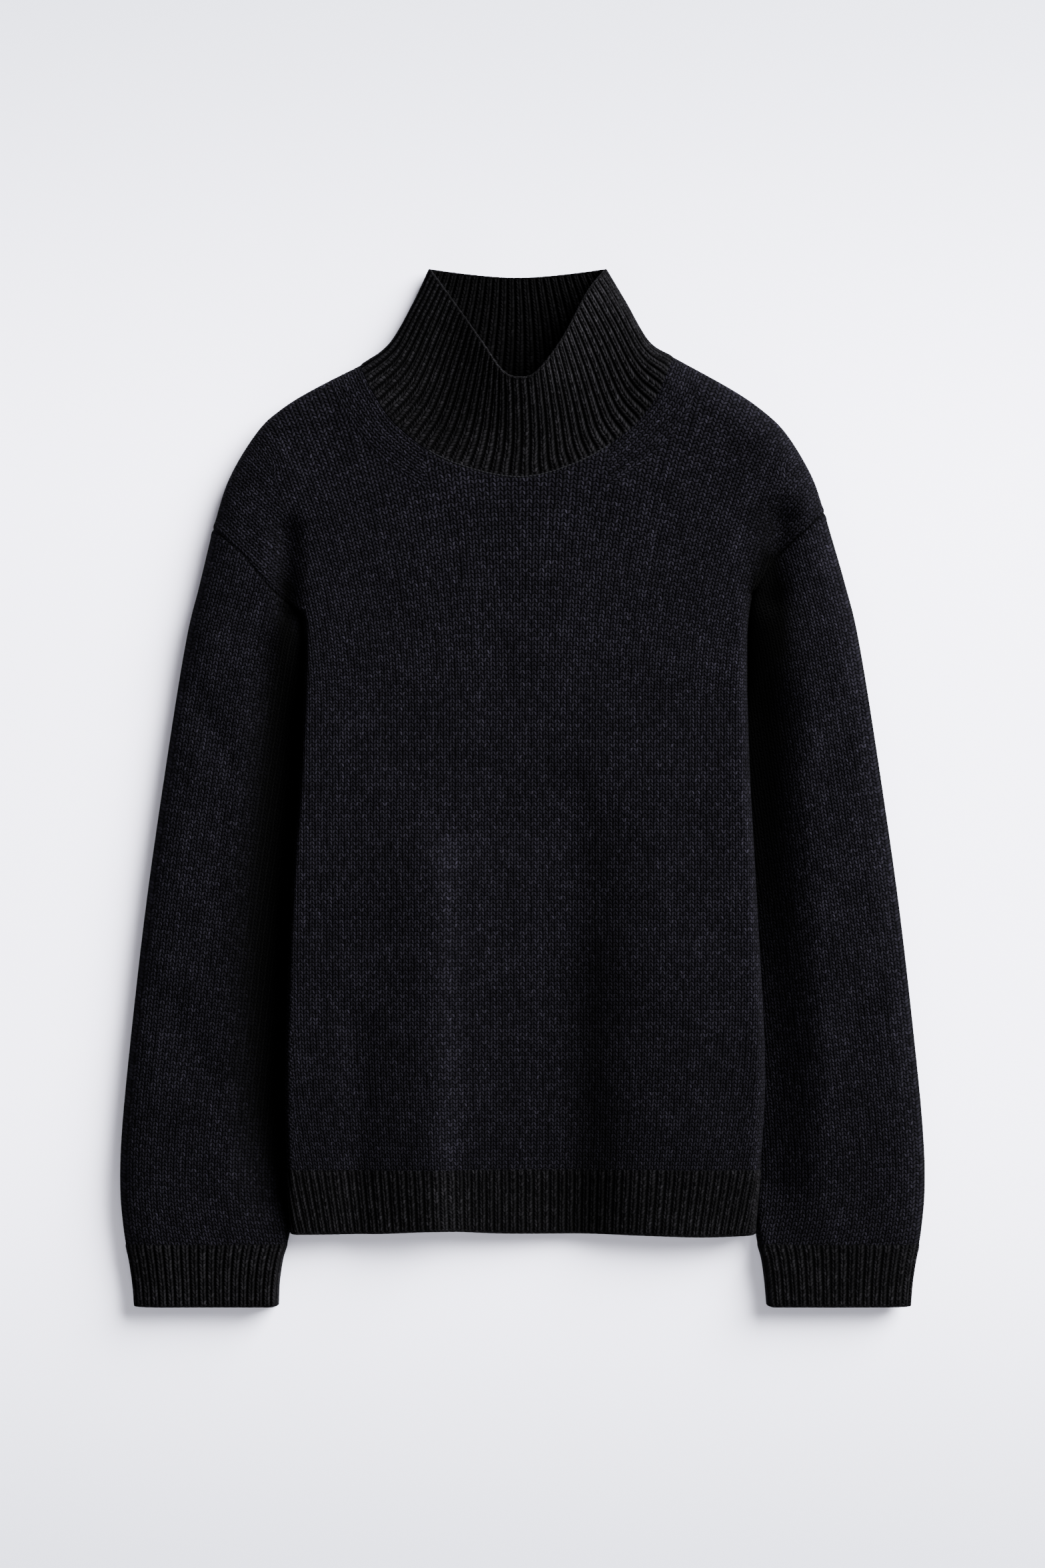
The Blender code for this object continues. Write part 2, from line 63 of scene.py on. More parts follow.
# %% Sizes of the cloth, mm
WALL = 2.5               # thickness of the knit
BUTT = 0.04              # gap between two panels that are linked together
BODY_CROWN = 28.0        # height of the front above the surface
HEM_CROWN = 23.0         # height of the front at the open hem
SLEEVE_CROWN = 26.0      # height of the lower sleeves
CUFF_CROWN = 20.0        # height of the cuffs at their open ends
SIDE_HEIGHT = 13.0       # height of the folded outer edges
CORNER_HEIGHT = 8.0      # height of the collar's two top corners
INNER_HEIGHT = 4.5       # height of the sleeves' inner folds, under the body's edge
COLLAR_CROWN = 42.0      # height of the collar's front edge at its middle
COLLAR_SHOULDER = 20.0   # height of the collar's front edge close to the corners
ROLL = 24.0              # width over which the cloth rolls round an outer edge
BODY_ROLL = 8.0          # the same where the front rolls down beside a sleeve
STEEP_ROLL = 4.5         # and on the left, where it stands up more steeply
INNER_ROLL = 5.0         # the same at a sleeve's inner fold
VALLEY = 48.0            # width of the slope from a sleeve's crown down to the body
UNDERARM_FADE = 75.0     # length over which that slope forms below the underarm
EDGE_SLACK = 0.01        # places this close to an outer edge count as on it

HEM_TOP = -275.0         # levels in the plan: the hem rib's seam
HEM_END = -322.0         # and its open end
CHEST = 70.0             # below this level the columns of stitches run straight up
CUFF_TOP = -329.0        # the seam of each cuff
CUFF_END = -374.8        # and its open end
NECK_SHARE = 0.21        # share of a panel's columns that end on each shoulder
CHEST_SHARE = 0.62       # share of a panel's rows below the chest line
UNDERARM_SHARE = 0.36    # share of the rows above it that end below the underarm
TIP_LEAN = 62.0          # degrees from upright of the columns at the shoulder's tip
NECK_LEAN = 18.0         # and where the shoulder meets the neck
print("cloth", WALL, "mm thick, lying up to", COLLAR_CROWN, "mm high")

# %% Rows of the tables
Pair = namedtuple("Pair", "left_x left_y right_x right_y")
Edge = namedtuple("Edge", "y left right")
Point = namedtuple("Point", "x y")
Fold = namedtuple("Fold", "x_start y_start x_end y_end height left_width right_width")


def mirrored(*rows):
    """Rows of a line that is the same on both halves, from each level and distance out."""
    return [Edge(y, -out, out) for y, out in rows]


print("a row of a table of folds holds", ", ".join(Fold._fields))

# %% Tables of the body's outline, mm
SHOULDER = [                                   # from the sleeve's seam up to the neck
    Pair(-224.0, 187.0, 218.5, 199.0),
    Pair(-212.0, 224.0, 209.0, 226.0),
    Pair(-191.5, 258.0, 191.0, 256.0),
    Pair(-173.0, 275.0, 173.0, 273.5),
    Pair(-150.0, 289.0, 150.0, 289.0),
    Pair(-117.4, 305.5, 109.2, 311.5),
]
ARMHOLE = [                                    # from the underarm up to the shoulder's tip
    Pair(-159.0, 125.0, 166.0, 140.0),
    Pair(-182.0, 145.0, 183.0, 166.0),
    Pair(-201.5, 168.0, 200.0, 182.5),
    Pair(-224.0, 187.0, 218.5, 199.0),
]
UPPER_SIDE = [                                 # from the chest line up to the underarm
    Pair(-158.3, 70.0, 162.5, 70.0),
    Pair(-157.8, 105.0, 163.0, 115.0),
    Pair(-159.0, 125.0, 166.0, 140.0),
]
BODY_SIDE = [                                  # from below the hem up to the chest line
    Edge(-327.0, -167.2, 167.6),
    Edge(-275.0, -170.5, 172.0),
    Edge(-200.0, -171.8, 175.5),
    Edge(-80.0, -167.5, 169.5),
    Edge(0.0, -162.0, 165.0),
    Edge(70.0, -158.3, 162.5),
]
print("the body is", round(BODY_SIDE[-1].right - BODY_SIDE[-1].left, 1), "mm wide at the chest")

# %% Tables of the sleeves' outline, mm
SLEEVE_OUTER = mirrored(
    (146.0, 233.8), (108.0, 243.0), (30.0, 255.8), (-86.0, 272.5), (-202.0, 285.6),
    (-258.0, 290.4), (-292.0, 290.9), (-314.0, 289.1), (-329.0, 287.0))
CUFF_OUTER = mirrored((-341.0, 284.4), (-358.0, 281.8), (-374.8, 280.5))
SLEEVE_INNER = [                               # from the underarm down to the cuff
    Edge(112.0, -157.8, 162.9),
    Edge(88.0, -157.4, 162.3),
    Edge(44.0, -158.6, 162.3),
    Edge(0.0, -160.5, 163.3),
    Edge(-80.0, -165.8, 167.8),
    Edge(-200.0, -170.0, 173.8),
    Edge(-256.0, -169.2, 172.0),
    Edge(-292.0, -168.0, 170.2),
    Edge(-315.0, -167.8, 168.7),
    Edge(-329.0, -170.3, 170.2),
]
CUFF_INNER = [Edge(-341.0, -173.8, 173.4), Edge(-358.0, -176.3, 175.8),
              Edge(-374.8, -177.0, 177.2)]
print("outer line of a sleeve and cuff has", len(SLEEVE_OUTER + CUFF_OUTER), "rows")

# %% Tables of the hem's end, the neck and the collar, mm
HEM_EDGE = [                                   # the open end of the hem, which is uneven
    Point(-168.0, -322.0), Point(-110.0, -321.4), Point(-62.0, -319.4), Point(-14.0, -321.6),
    Point(60.0, -322.0), Point(128.0, -323.7), Point(168.5, -322.6),
]
NECK_FRONT = [
    Point(-117.4, 305.5), Point(-106.7, 283.4), Point(-89.3, 260.0), Point(-54.9, 236.4),
    Point(-5.0, 224.0), Point(37.0, 233.5), Point(73.3, 255.0), Point(95.0, 279.5),
    Point(109.2, 311.5),
]
NECK_BACK = [Point(-117.4, 305.5), Point(-60.0, 293.0), Point(-4.0, 290.0),
             Point(52.0, 294.0), Point(109.2, 311.5)]
COLLAR_SIDE = [                                # from the neck seam up to the top corner
    Pair(-117.4, 305.5, 109.2, 311.5),
    Pair(-96.0, 321.5, 91.4, 323.0),
    Pair(-78.5, 352.0, 74.6, 352.0),
    Pair(-67.5, 376.3, 60.3, 376.3),
]
COLLAR_FRONT_EDGE = [
    Point(-67.5, 376.3), Point(-52.0, 353.7), Point(-30.8, 322.8), Point(-14.5, 299.2),
    Point(-1.0, 294.4), Point(11.0, 299.2), Point(28.6, 322.8), Point(46.6, 357.6),
    Point(60.3, 376.3),
]
COLLAR_BACK_EDGE = [Point(-67.5, 376.3), Point(-4.0, 370.7), Point(60.3, 376.3)]
lowest = min(point.y for point in COLLAR_FRONT_EDGE)
print("the collar's front edge dips by", round(COLLAR_SIDE[-1].left_y - lowest, 1), "mm")

# %% [markdown]
# ## The folds
#
# Heavy knitwear does not crease sharply. Where it has spare width it lies in long soft
# ridges and troughs, and it dips where a sleeve pulls at the underarm. Each fold here is a
# straight run with a height, given in a table, and no two are alike. It has a width to each
# side, because a fold in cloth leans over: one side is steep and the other gentle. A cloth
# simulation would give folds too, but not these folds.

# %% Tables of the folds, mm
FRONT_FOLDS = [
    Fold(-65.0, -60.0, -64.0, -330.0, 6.5, 34.0, 15.0),
    Fold(32.0, -30.0, 38.0, -330.0, -8.0, 72.0, 30.0),
    Fold(-118.0, -170.0, -118.0, -330.0, -3.0, 16.0, 12.0),
    Fold(120.0, -120.0, 128.0, -330.0, 1.5, 26.0, 18.0),
]
UNDERARM_FOLDS = [
    Fold(-170.0, 184.0, -169.0, 128.0, -8.0, 9.0, 10.0),
    Fold(186.0, 192.0, 179.0, 138.0, -8.0, 12.0, 12.0),
]
SLEEVE_FOLDS = [
    Fold(-238.0, 70.0, -214.0, 20.0, -2.5, 12.0, 12.0),
    Fold(-262.0, -150.0, -228.0, -205.0, -2.5, 16.0, 12.0),
    Fold(240.0, 55.0, 216.0, 5.0, -2.5, 12.0, 12.0),
    Fold(268.0, -110.0, 232.0, -170.0, -2.5, 12.0, 16.0),
]
BACK_FOLDS = [                                 # lifts of the cloth off the surface
    Fold(-84.0, -20.0, -70.0, -262.0, 1.6, 15.0, 20.0),
    Fold(36.0, 60.0, 58.0, -225.0, 2.1, 24.0, 14.0),
    Fold(118.0, 150.0, 96.0, 20.0, 1.3, 13.0, 13.0),
]
SLEEVE_BACK_FOLDS = [
    Fold(-240.0, 30.0, -222.0, -60.0, 1.4, 10.0, 14.0),
    Fold(236.0, -70.0, 222.0, -190.0, 1.7, 15.0, 10.0),
]
print(len(FRONT_FOLDS + UNDERARM_FOLDS), "folds in front and", len(SLEEVE_FOLDS), "on the sleeves")

# %% [markdown]
# ## Smooth lines
#
# A row of points becomes a smooth line by a Catmull-Rom curve: it goes through every point,
# and its heading there is that of the run from the point before to the point after. A Bezier
# curve object would do as well, but the panels need the line as a function, to ask it for
# the place at any share of its length.

# %% Smooth lines


def smooth_line(points, fineness=12):
    """Run a smooth line through plan points and return a function of its share, 0 to 1."""
    points = np.array(points, dtype=float)
    first = 2.0 * points[0] - points[1]
    last = 2.0 * points[-1] - points[-2]
    ends = np.vstack([first, points, last])
    steps = (np.arange(fineness) / fineness)[:, None]
    spans = []
    for a, b, c, d in zip(ends, ends[1:], ends[2:], ends[3:]):
        cubic = 3.0 * b - a - 3.0 * c + d
        square = 2.0 * a - 5.0 * b + 4.0 * c - d
        spans.append(b + 0.5 * ((c - a) * steps + square * steps ** 2 + cubic * steps ** 3))
    fine = np.vstack(spans + [points[-1]])
    travelled = np.concatenate([[0.0], np.cumsum(np.hypot(*np.diff(fine, axis=0).T))])
    shares = travelled / travelled[-1]

    def at(share):
        return np.stack([np.interp(share, shares, fine[:, axis]) for axis in (0, 1)], axis=-1)

    return at


def left(rows):
    """The -X line of a table of pairs or edges."""
    return [row[:2] if isinstance(row, Pair) else (row.left, row.y) for row in rows]


def right(rows):
    """The +X line of a table of pairs or edges."""
    return [row[2:] if isinstance(row, Pair) else (row.right, row.y) for row in rows]


def both(*tables):
    """One smooth line for each half, through the rows of the tables in turn."""
    halves = []
    for half in (left, right):
        points = [point for table in tables for point in half(table)]
        distinct = [p for n, p in enumerate(points) if n == 0 or p != points[n - 1]]
        halves.append(smooth_line(distinct))
    return halves


hill = smooth_line([(0.0, 0.0), (10.0, 10.0), (20.0, 0.0)])
print("a line over a hill of 10 mm, a quarter of the way along:", hill(0.25).round(2))

# %% Lines of the garment, one for each half
SHOULDER_LINE = both(SHOULDER)
ARMHOLE_LINE = both(ARMHOLE)
UPPER_SIDE_LINE = both(UPPER_SIDE)
BODY_SIDE_LINE = both(BODY_SIDE)
COLLAR_SIDE_LINE = both(COLLAR_SIDE)
OUTER_LINE = both([SHOULDER[0]], SLEEVE_OUTER, CUFF_OUTER)
INNER_LINE = both([ARMHOLE[0]], SLEEVE_INNER, CUFF_INNER)
NECK_FRONT_LINE = smooth_line(NECK_FRONT)
NECK_BACK_LINE = smooth_line(NECK_BACK)
HEM_EDGE_LINE = smooth_line(HEM_EDGE)
FRONT_EDGE_LINE = smooth_line(COLLAR_FRONT_EDGE)
BACK_EDGE_LINE = smooth_line(COLLAR_BACK_EDGE)
print("left shoulder's middle, mm:", SHOULDER_LINE[0](0.5).round(1))

# %% The same lines as places along them, and distances from them


def gap_to(lines, place):
    """Plan distance from each place to the nearest of some sampled lines."""
    nearest = np.full(len(place), np.inf)
    for line in lines:
        start, run = line[:-1], np.diff(line, axis=0)
        for begin, step in zip(start, run):
            along = np.clip(((place - begin) @ step) / (step @ step), 0.0, 1.0)
            miss = place - begin - along[:, None] * step
            nearest = np.minimum(nearest, np.hypot(miss[:, 0], miss[:, 1]))
    return nearest


def beside(line, place):
    """Plan distance from a sampled line, and the distance along it, for each place."""
    nearest = np.full(len(place), np.inf)
    travelled = np.zeros(len(place))
    done = 0.0
    for begin, step in zip(line[:-1], np.diff(line, axis=0)):
        length = np.hypot(*step)
        along = np.clip(((place - begin) @ step) / length ** 2, 0.0, 1.0)
        miss = place - begin - along[:, None] * step
        gap = np.hypot(miss[:, 0], miss[:, 1])
        closer = gap < nearest
        nearest = np.where(closer, gap, nearest)
        travelled = np.where(closer, done + along * length, travelled)
        done += length
    return nearest, travelled


SAMPLES = np.linspace(0.0, 1.0, 160)
OUTLINE = [line(SAMPLES) for line in SHOULDER_LINE + COLLAR_SIDE_LINE + OUTER_LINE]
BODY_EDGES = [line(SAMPLES) for line in BODY_SIDE_LINE + UPPER_SIDE_LINE]
SLEEVE_EDGES = [line(SAMPLES) for line in INNER_LINE]
ARMHOLE_SEAMS = [line(SAMPLES) for line in ARMHOLE_LINE]
NECK_SEAM = [NECK_FRONT_LINE(SAMPLES)]
BACK_NECK_SEAM = [NECK_BACK_LINE(SAMPLES)]
print("outline is sampled at", sum(len(line) for line in OUTLINE), "places")

# %% [markdown]
# ## The heights
#
# Laid flat, the sweater is two layers that meet in a rounded fold at the outline. So its top
# is one height over the plan and its underside is another, and every panel is a part of one
# of the two. Panels that share a seam then meet by themselves, with nothing to fit.
#
# Real knitting is never quite level. A few long waves of a fraction of a millimetre keep the
# light from sliding over it as over sheet metal.

# %% Heights of waves, folds and edges
UNEVEN = 0.35            # height of the long waves in the cloth, mm
WAVES = np.random.default_rng(7)
WAVE_RUNS = WAVES.uniform(28.0, 75.0, 9)
WAVE_TURNS = WAVES.uniform(0.0, np.pi, 9)
WAVE_STARTS = WAVES.uniform(0.0, 2.0 * np.pi, 9)


def unevenness(place):
    """Gentle waves, mm, that cross at many angles and do not repeat."""
    total = np.zeros(len(place))
    for run, turn, start in zip(WAVE_RUNS, WAVE_TURNS, WAVE_STARTS):
        travel = place[:, 0] * np.cos(turn) + place[:, 1] * np.sin(turn)
        total += np.sin(2.0 * np.pi * travel / run + start)
    return UNEVEN * total / np.sqrt(len(WAVE_RUNS))


def ease(share):
    """Go from 0 to 1 with a level start and a level end."""
    share = np.clip(share, 0.0, 1.0)
    return share * share * (3.0 - 2.0 * share)


def fold_height(folds, place):
    """Sum of the soft folds at each place: each is highest on its line and fades from it."""
    total = np.zeros(len(place))
    for fold in folds:
        line = np.array([(fold.x_start, fold.y_start), (fold.x_end, fold.y_end)])
        gap, travelled = beside(line, place)
        run = (line[1] - line[0]) / np.hypot(*(line[1] - line[0]))
        off = place[:, 0] - line[0, 0] - run[0] * travelled
        to_right = ease(0.5 + 0.5 * off / np.maximum(gap, 1e-6))
        width = fold.left_width + (fold.right_width - fold.left_width) * to_right
        total += fold.height * np.exp(-(gap / width) ** 2)
    return total


def edge_height(place):
    """Height of the folded outer edge level with each place: lower at the collar's top."""
    neck = COLLAR_SIDE[0].left_y
    top = COLLAR_SIDE[-1].left_y
    return SIDE_HEIGHT + (CORNER_HEIGHT - SIDE_HEIGHT) * ease((place[:, 1] - neck) / (top - neck))


CHEST_LINE = np.column_stack([np.linspace(-150.0, 150.0, 61), np.full(61, CHEST)])
print("waves across the chest reach", np.abs(unevenness(CHEST_LINE)).max().round(2), "mm")

# %% Heights of the body
HEM_FALL = 60.0          # the front starts to fall this far above the hem's seam


def roll(gap, width):
    """Rise from 0 at an outer edge to 1 at `width` from it, round as a quarter ellipse."""
    share = np.clip((gap - EDGE_SLACK) / width, 0.0, 1.0)
    return np.sqrt(1.0 - (1.0 - share) ** 2)


def body_heights(place):
    """Top and underside of the body at each place."""
    beside_sleeve = gap_to(BODY_EDGES, place)
    outer_rise = roll(gap_to(OUTLINE, place), ROLL)
    rise = roll(beside_sleeve, np.where(place[:, 0] < 0.0, STEEP_ROLL, BODY_ROLL)) * outer_rise
    fall_start = HEM_TOP + HEM_FALL
    drop = ease((fall_start - place[:, 1]) / (fall_start - HEM_END))
    crown = BODY_CROWN + (HEM_CROWN - BODY_CROWN) * drop
    crown = crown + fold_height(FRONT_FOLDS + UNDERARM_FOLDS, place) + unevenness(place)
    edge = edge_height(place)
    under_rise = roll(beside_sleeve, ROLL) * outer_rise
    under = edge * (1.0 - under_rise) + fold_height(BACK_FOLDS, place) * under_rise
    return edge + (crown - edge) * rise, under


print("front at the middle of the chest:", body_heights(CHEST_LINE)[0][30].round(1), "mm high")

# %% Heights of the sleeves
WRIST = 60.0             # a sleeve starts to fall this far above the cuff's seam
WRIST_RUN = 107.0        # length over which the sleeve and the cuff fall
AT_FOLD = 0.12           # share of its height that a sleeve gains close to its inner fold
VALLEY_END = -350.0      # level by which a sleeve no longer slopes down to the body
VALLEY_FADE = 70.0       # length over which that slope goes


def sleeve_heights(place):
    """Top and underside of the sleeves: the same as the body's at the armhole, and below it
    a long slope down to the inner fold, which slips under the body's edge."""
    y = place[:, 1]
    formed = ease((ARMHOLE[0].left_y - y) / UNDERARM_FADE)
    inner_gap = gap_to(SLEEVE_EDGES, place)
    inner_edge = SIDE_HEIGHT + (INNER_HEIGHT - SIDE_HEIGHT) * formed
    fold_rise = roll(inner_gap, ROLL + (INNER_ROLL - ROLL) * formed)
    slope = AT_FOLD * fold_rise + (1.0 - AT_FOLD) * ease(inner_gap / VALLEY)
    tucked = formed * ease((y - VALLEY_END) / VALLEY_FADE)
    inner_rise = fold_rise + (slope - fold_rise) * tucked
    outer_rise = roll(gap_to(OUTLINE, place), ROLL)
    crown = BODY_CROWN + (SLEEVE_CROWN - BODY_CROWN) * formed
    crown = crown + (CUFF_CROWN - SLEEVE_CROWN) * ease((CUFF_TOP + WRIST - y) / WRIST_RUN)
    crown = crown + fold_height(SLEEVE_FOLDS + UNDERARM_FOLDS, place) + unevenness(place)
    top = inner_edge + (SIDE_HEIGHT - inner_edge) * inner_rise
    top = top + (crown - SIDE_HEIGHT) * outer_rise * inner_rise
    under = inner_edge * (1.0 - fold_rise) + SIDE_HEIGHT * (1.0 - outer_rise) * fold_rise
    under = under + fold_height(SLEEVE_BACK_FOLDS, place) * outer_rise * fold_rise
    return top, under


SLEEVE_MIDDLE = np.array([[-220.0, 0.0]])
print("left sleeve halfway down:", sleeve_heights(SLEEVE_MIDDLE)[0].round(1), "mm high")

# %% Heights of the collar
COLLAR_BOW = 2.2         # how late the collar's front rises on its way to its open edge


def collar_heights(place, along, across):
    """Top and underside of the collar: its front rises to the open edge."""
    rim = COLLAR_SHOULDER + (COLLAR_CROWN - COLLAR_SHOULDER) * np.sin(np.pi * across)
    crown = BODY_CROWN + (rim - BODY_CROWN) * along ** COLLAR_BOW + unevenness(place)
    rise = roll(gap_to(OUTLINE, place), ROLL)
    edge = edge_height(place)
    return edge + (crown - edge) * rise, edge * (1.0 - rise)


HALF = np.array([0.5])
NECK_PLACE = NECK_FRONT_LINE(HALF)
print("collar at its foot:", collar_heights(NECK_PLACE, 0.0 * HALF, HALF)[0].round(1), "mm high")

# %% [markdown]
# ## The panels' skins
#
# Each panel gets a skin: a function that turns a share across the panel and a share along it
# into a place on the garment, in millimetres. The front and the back fan out from the chest
# to the shoulders, as the stitch columns of the real panels do. Sleeves, cuffs and collar are
# flattened tubes, whose share around runs over the top and back along the underside.

# %% Sides and top of the front and the back


def side_x(line, y):
    """The x of a body side at each y."""
    fine = line(np.linspace(0.0, 1.0, 120))
    return np.interp(y, fine[:, 1], fine[:, 0])


def panel_side(half, high):
    """A panel's side above the chest line: up to the underarm, then along the armhole."""
    lower = UPPER_SIDE_LINE[half](np.clip(high / UNDERARM_SHARE, 0.0, 1.0))
    upper = ARMHOLE_LINE[half](np.clip((high - UNDERARM_SHARE) / (1.0 - UNDERARM_SHARE), 0.0, 1.0))
    return np.where((high < UNDERARM_SHARE)[:, None], lower, upper)


def panel_top(across, neck_line):
    """A panel's top: a shoulder, the neck seam and the other shoulder."""
    left_shoulder = SHOULDER_LINE[0](np.clip(across / NECK_SHARE, 0.0, 1.0))
    right_shoulder = SHOULDER_LINE[1](np.clip((1.0 - across) / NECK_SHARE, 0.0, 1.0))
    neck = neck_line(np.clip((across - NECK_SHARE) / (1.0 - 2.0 * NECK_SHARE), 0.0, 1.0))
    outer = np.where((across < 0.5)[:, None], left_shoulder, right_shoulder)
    on_shoulder = (across < NECK_SHARE) | (across > 1.0 - NECK_SHARE)
    return np.where(on_shoulder[:, None], outer, neck)


print("middle of the front neck seam, mm:", panel_top(HALF, NECK_FRONT_LINE).round(1))

# %% Plan of the front and the back
HANDLE = 0.42            # how straight a column starts and ends, as a share of its run
SIDE_PULL = 0.3          # share of a panel's width that bends to follow its side


def bezier(start, handle_a, handle_b, end, share):
    """A cubic curve between two plan places."""
    s = share[:, None]
    return ((1 - s) ** 3 * start + 3 * (1 - s) ** 2 * s * handle_a
            + 3 * (1 - s) * s ** 2 * handle_b + s ** 3 * end)


def panel_plan(across, along, neck_line):
    """Plan of the front or the back: columns run straight up from the hem to the chest
    line, then fan out to the shoulders and up to the neck."""
    low = np.clip(along / CHEST_SHARE, 0.0, 1.0)
    y_low = HEM_TOP + (CHEST - HEM_TOP) * low
    edge_left, edge_right = (side_x(line, y_low) for line in BODY_SIDE_LINE)
    straight = np.stack([edge_left + (edge_right - edge_left) * across, y_low], axis=-1)

    high = np.clip((along - CHEST_SHARE) / (1.0 - CHEST_SHARE), 0.0, 1.0)
    top = panel_top(across, neck_line)
    reach = np.hypot(*(top - straight).T)[:, None]
    sideways = 2.0 * across - 1.0
    outside = (np.abs(sideways) - (1.0 - 2.0 * NECK_SHARE)) / (2.0 * NECK_SHARE)
    lean = np.where(outside > 0.0, NECK_LEAN + (TIP_LEAN - NECK_LEAN) * outside,
                    NECK_LEAN * np.abs(sideways) / (1.0 - 2.0 * NECK_SHARE))
    lean = np.radians(lean) * np.sign(sideways)
    fan = np.stack([np.sin(lean), np.cos(lean)], axis=-1)
    upright = np.array([0.0, 1.0])

    def column(start, end, length, direction):
        return bezier(start, start + HANDLE * length * upright,
                      end - HANDLE * length * direction, end, high)

    place = column(straight, top, reach, fan)
    for half, side in enumerate((0.0, 1.0)):
        corner = UPPER_SIDE_LINE[half](np.zeros(1))
        tip = SHOULDER_LINE[half](np.zeros(1))
        tilt = np.radians(TIP_LEAN) * (2.0 * side - 1.0)
        edge_fan = np.array([[np.sin(tilt), np.cos(tilt)]])
        length = np.hypot(*(tip - corner).T)[:, None]
        drawn = column(corner, tip, length, edge_fan)
        wanted = panel_side(half, high)
        pull = np.clip(1.0 - np.abs(across - side) / SIDE_PULL, 0.0, 1.0) ** 2
        place = place + (wanted - drawn) * pull[:, None]
    return np.where((along <= CHEST_SHARE)[:, None], straight, place)


print("middle of the front, mm:", panel_plan(HALF, HALF, NECK_FRONT_LINE).round(1))

# %% Skins of the front, the back and the hem ribs
HEM_WIDTH = 336.0        # length of the hem's open end


def front_plan(across, along):
    """Plan of the front, whose neck is cut low."""
    return panel_plan(across, along, NECK_FRONT_LINE)


def back_plan(across, along):
    """Plan of the back, whose neck is high."""
    return panel_plan(across, along, NECK_BACK_LINE)


def hem_plan(across, along):
    """Plan of the hem ribs: rows that go from the uneven open end to the seam above."""
    end = np.interp((across - 0.5) * HEM_WIDTH, *HEM_EDGE_LINE(SAMPLES).T)
    y = end + (HEM_TOP - BUTT - end) * along
    edge_left, edge_right = (side_x(line, y) for line in BODY_SIDE_LINE)
    return np.stack([edge_left + (edge_right - edge_left) * across, y], axis=-1)


def body_skin(plan, layer):
    """The skin that a plan gives on the body's top (layer 0) or its underside (1)."""

    def skin(across, along):
        place = plan(across, along)
        return np.column_stack([place, body_heights(place)[layer]])

    return skin


print("middle of the back, mm:", body_skin(back_plan, 1)(HALF, HALF).round(1))

# %% Skins of the sleeves


def mix(start, end, share):
    """Go from one plan place to another."""
    return start + (end - start) * np.asarray(share)[..., None]


def above_and_below(line, level):
    """Cut a line that runs down the garment where it crosses a level, into two lines."""
    fine = np.linspace(0.0, 1.0, 400)
    cut = np.interp(-level, -line(fine)[:, 1], fine)

    def above(share):
        return line(cut * share)

    def below(share):
        return line(cut + (1.0 - cut) * share)

    return above, below


def tube_share(around):
    """Share across a flattened tube: 0 to 1 over its top, then 1 to 0 under it."""
    return (1.0 - np.cos(2.0 * np.pi * around)) / 2.0


def sleeve_skin(half):
    """One sleeve, from the armhole to the cuff."""
    inner_line = above_and_below(INNER_LINE[half], CUFF_TOP)[0]
    outer_line = above_and_below(OUTER_LINE[half], CUFF_TOP)[0]
    start_gap = BUTT / (ARMHOLE[0].left_y - CUFF_TOP)

    def skin(around, along):
        around = around % 1.0
        share = tube_share(around)
        down = start_gap + (1.0 - start_gap) * along
        inner, outer = inner_line(down), outer_line(down)
        origin = np.zeros(len(down))
        chord = mix(inner_line(origin), outer_line(origin), share)
        bow = (ARMHOLE_LINE[half](share) - chord) * ((1.0 - down) ** 4)[:, None]
        place = mix(inner, outer, share) + bow
        top, under = sleeve_heights(place)
        return np.column_stack([place, np.where(around <= 0.5, top, under)])

    return skin


QUARTER = np.array([0.25])
print("middle of the left sleeve, mm:", sleeve_skin(0)(QUARTER, HALF).round(1))

# %% Skins of the cuffs


def cuff_skin(half):
    """One ribbed cuff, from the sleeve's end to its open end."""
    inner_line = above_and_below(INNER_LINE[half], CUFF_TOP)[1]
    outer_line = above_and_below(OUTER_LINE[half], CUFF_TOP)[1]
    start_gap = BUTT / (CUFF_TOP - CUFF_END)

    def skin(around, along):
        around = around % 1.0
        share = tube_share(around)
        down = start_gap + (1.0 - start_gap) * along
        place = mix(inner_line(down), outer_line(down), share)
        top, under = sleeve_heights(place)
        return np.column_stack([place, np.where(around <= 0.5, top, under)])

    return skin


print("middle of the left cuff, mm:", cuff_skin(0)(QUARTER, HALF).round(1))

# %% Skin of the collar


def collar_skin(around, along):
    """The collar: a tube from the neck seam up to its open edge, which dips at the front."""
    around = around % 1.0
    share = tube_share(around)
    on_front = (around <= 0.5)[:, None]
    base = np.where(on_front, NECK_FRONT_LINE(share), NECK_BACK_LINE(share))
    edge = np.where(on_front, FRONT_EDGE_LINE(share), BACK_EDGE_LINE(share))
    sides = [line(along) for line in COLLAR_SIDE_LINE]
    feet = [line(np.zeros(len(along))) for line in COLLAR_SIDE_LINE]
    heads = [line(np.ones(len(along))) for line in COLLAR_SIDE_LINE]
    bulges = [side - mix(foot, head, along) for side, foot, head in zip(sides, feet, heads)]
    place = mix(base, edge, along) + mix(bulges[0], bulges[1], share)
    top, under = collar_heights(place, along, share)
    return np.column_stack([place, np.where(around <= 0.5, top, under)])


print("middle of the collar's front, mm:", collar_skin(QUARTER, HALF).round(1))

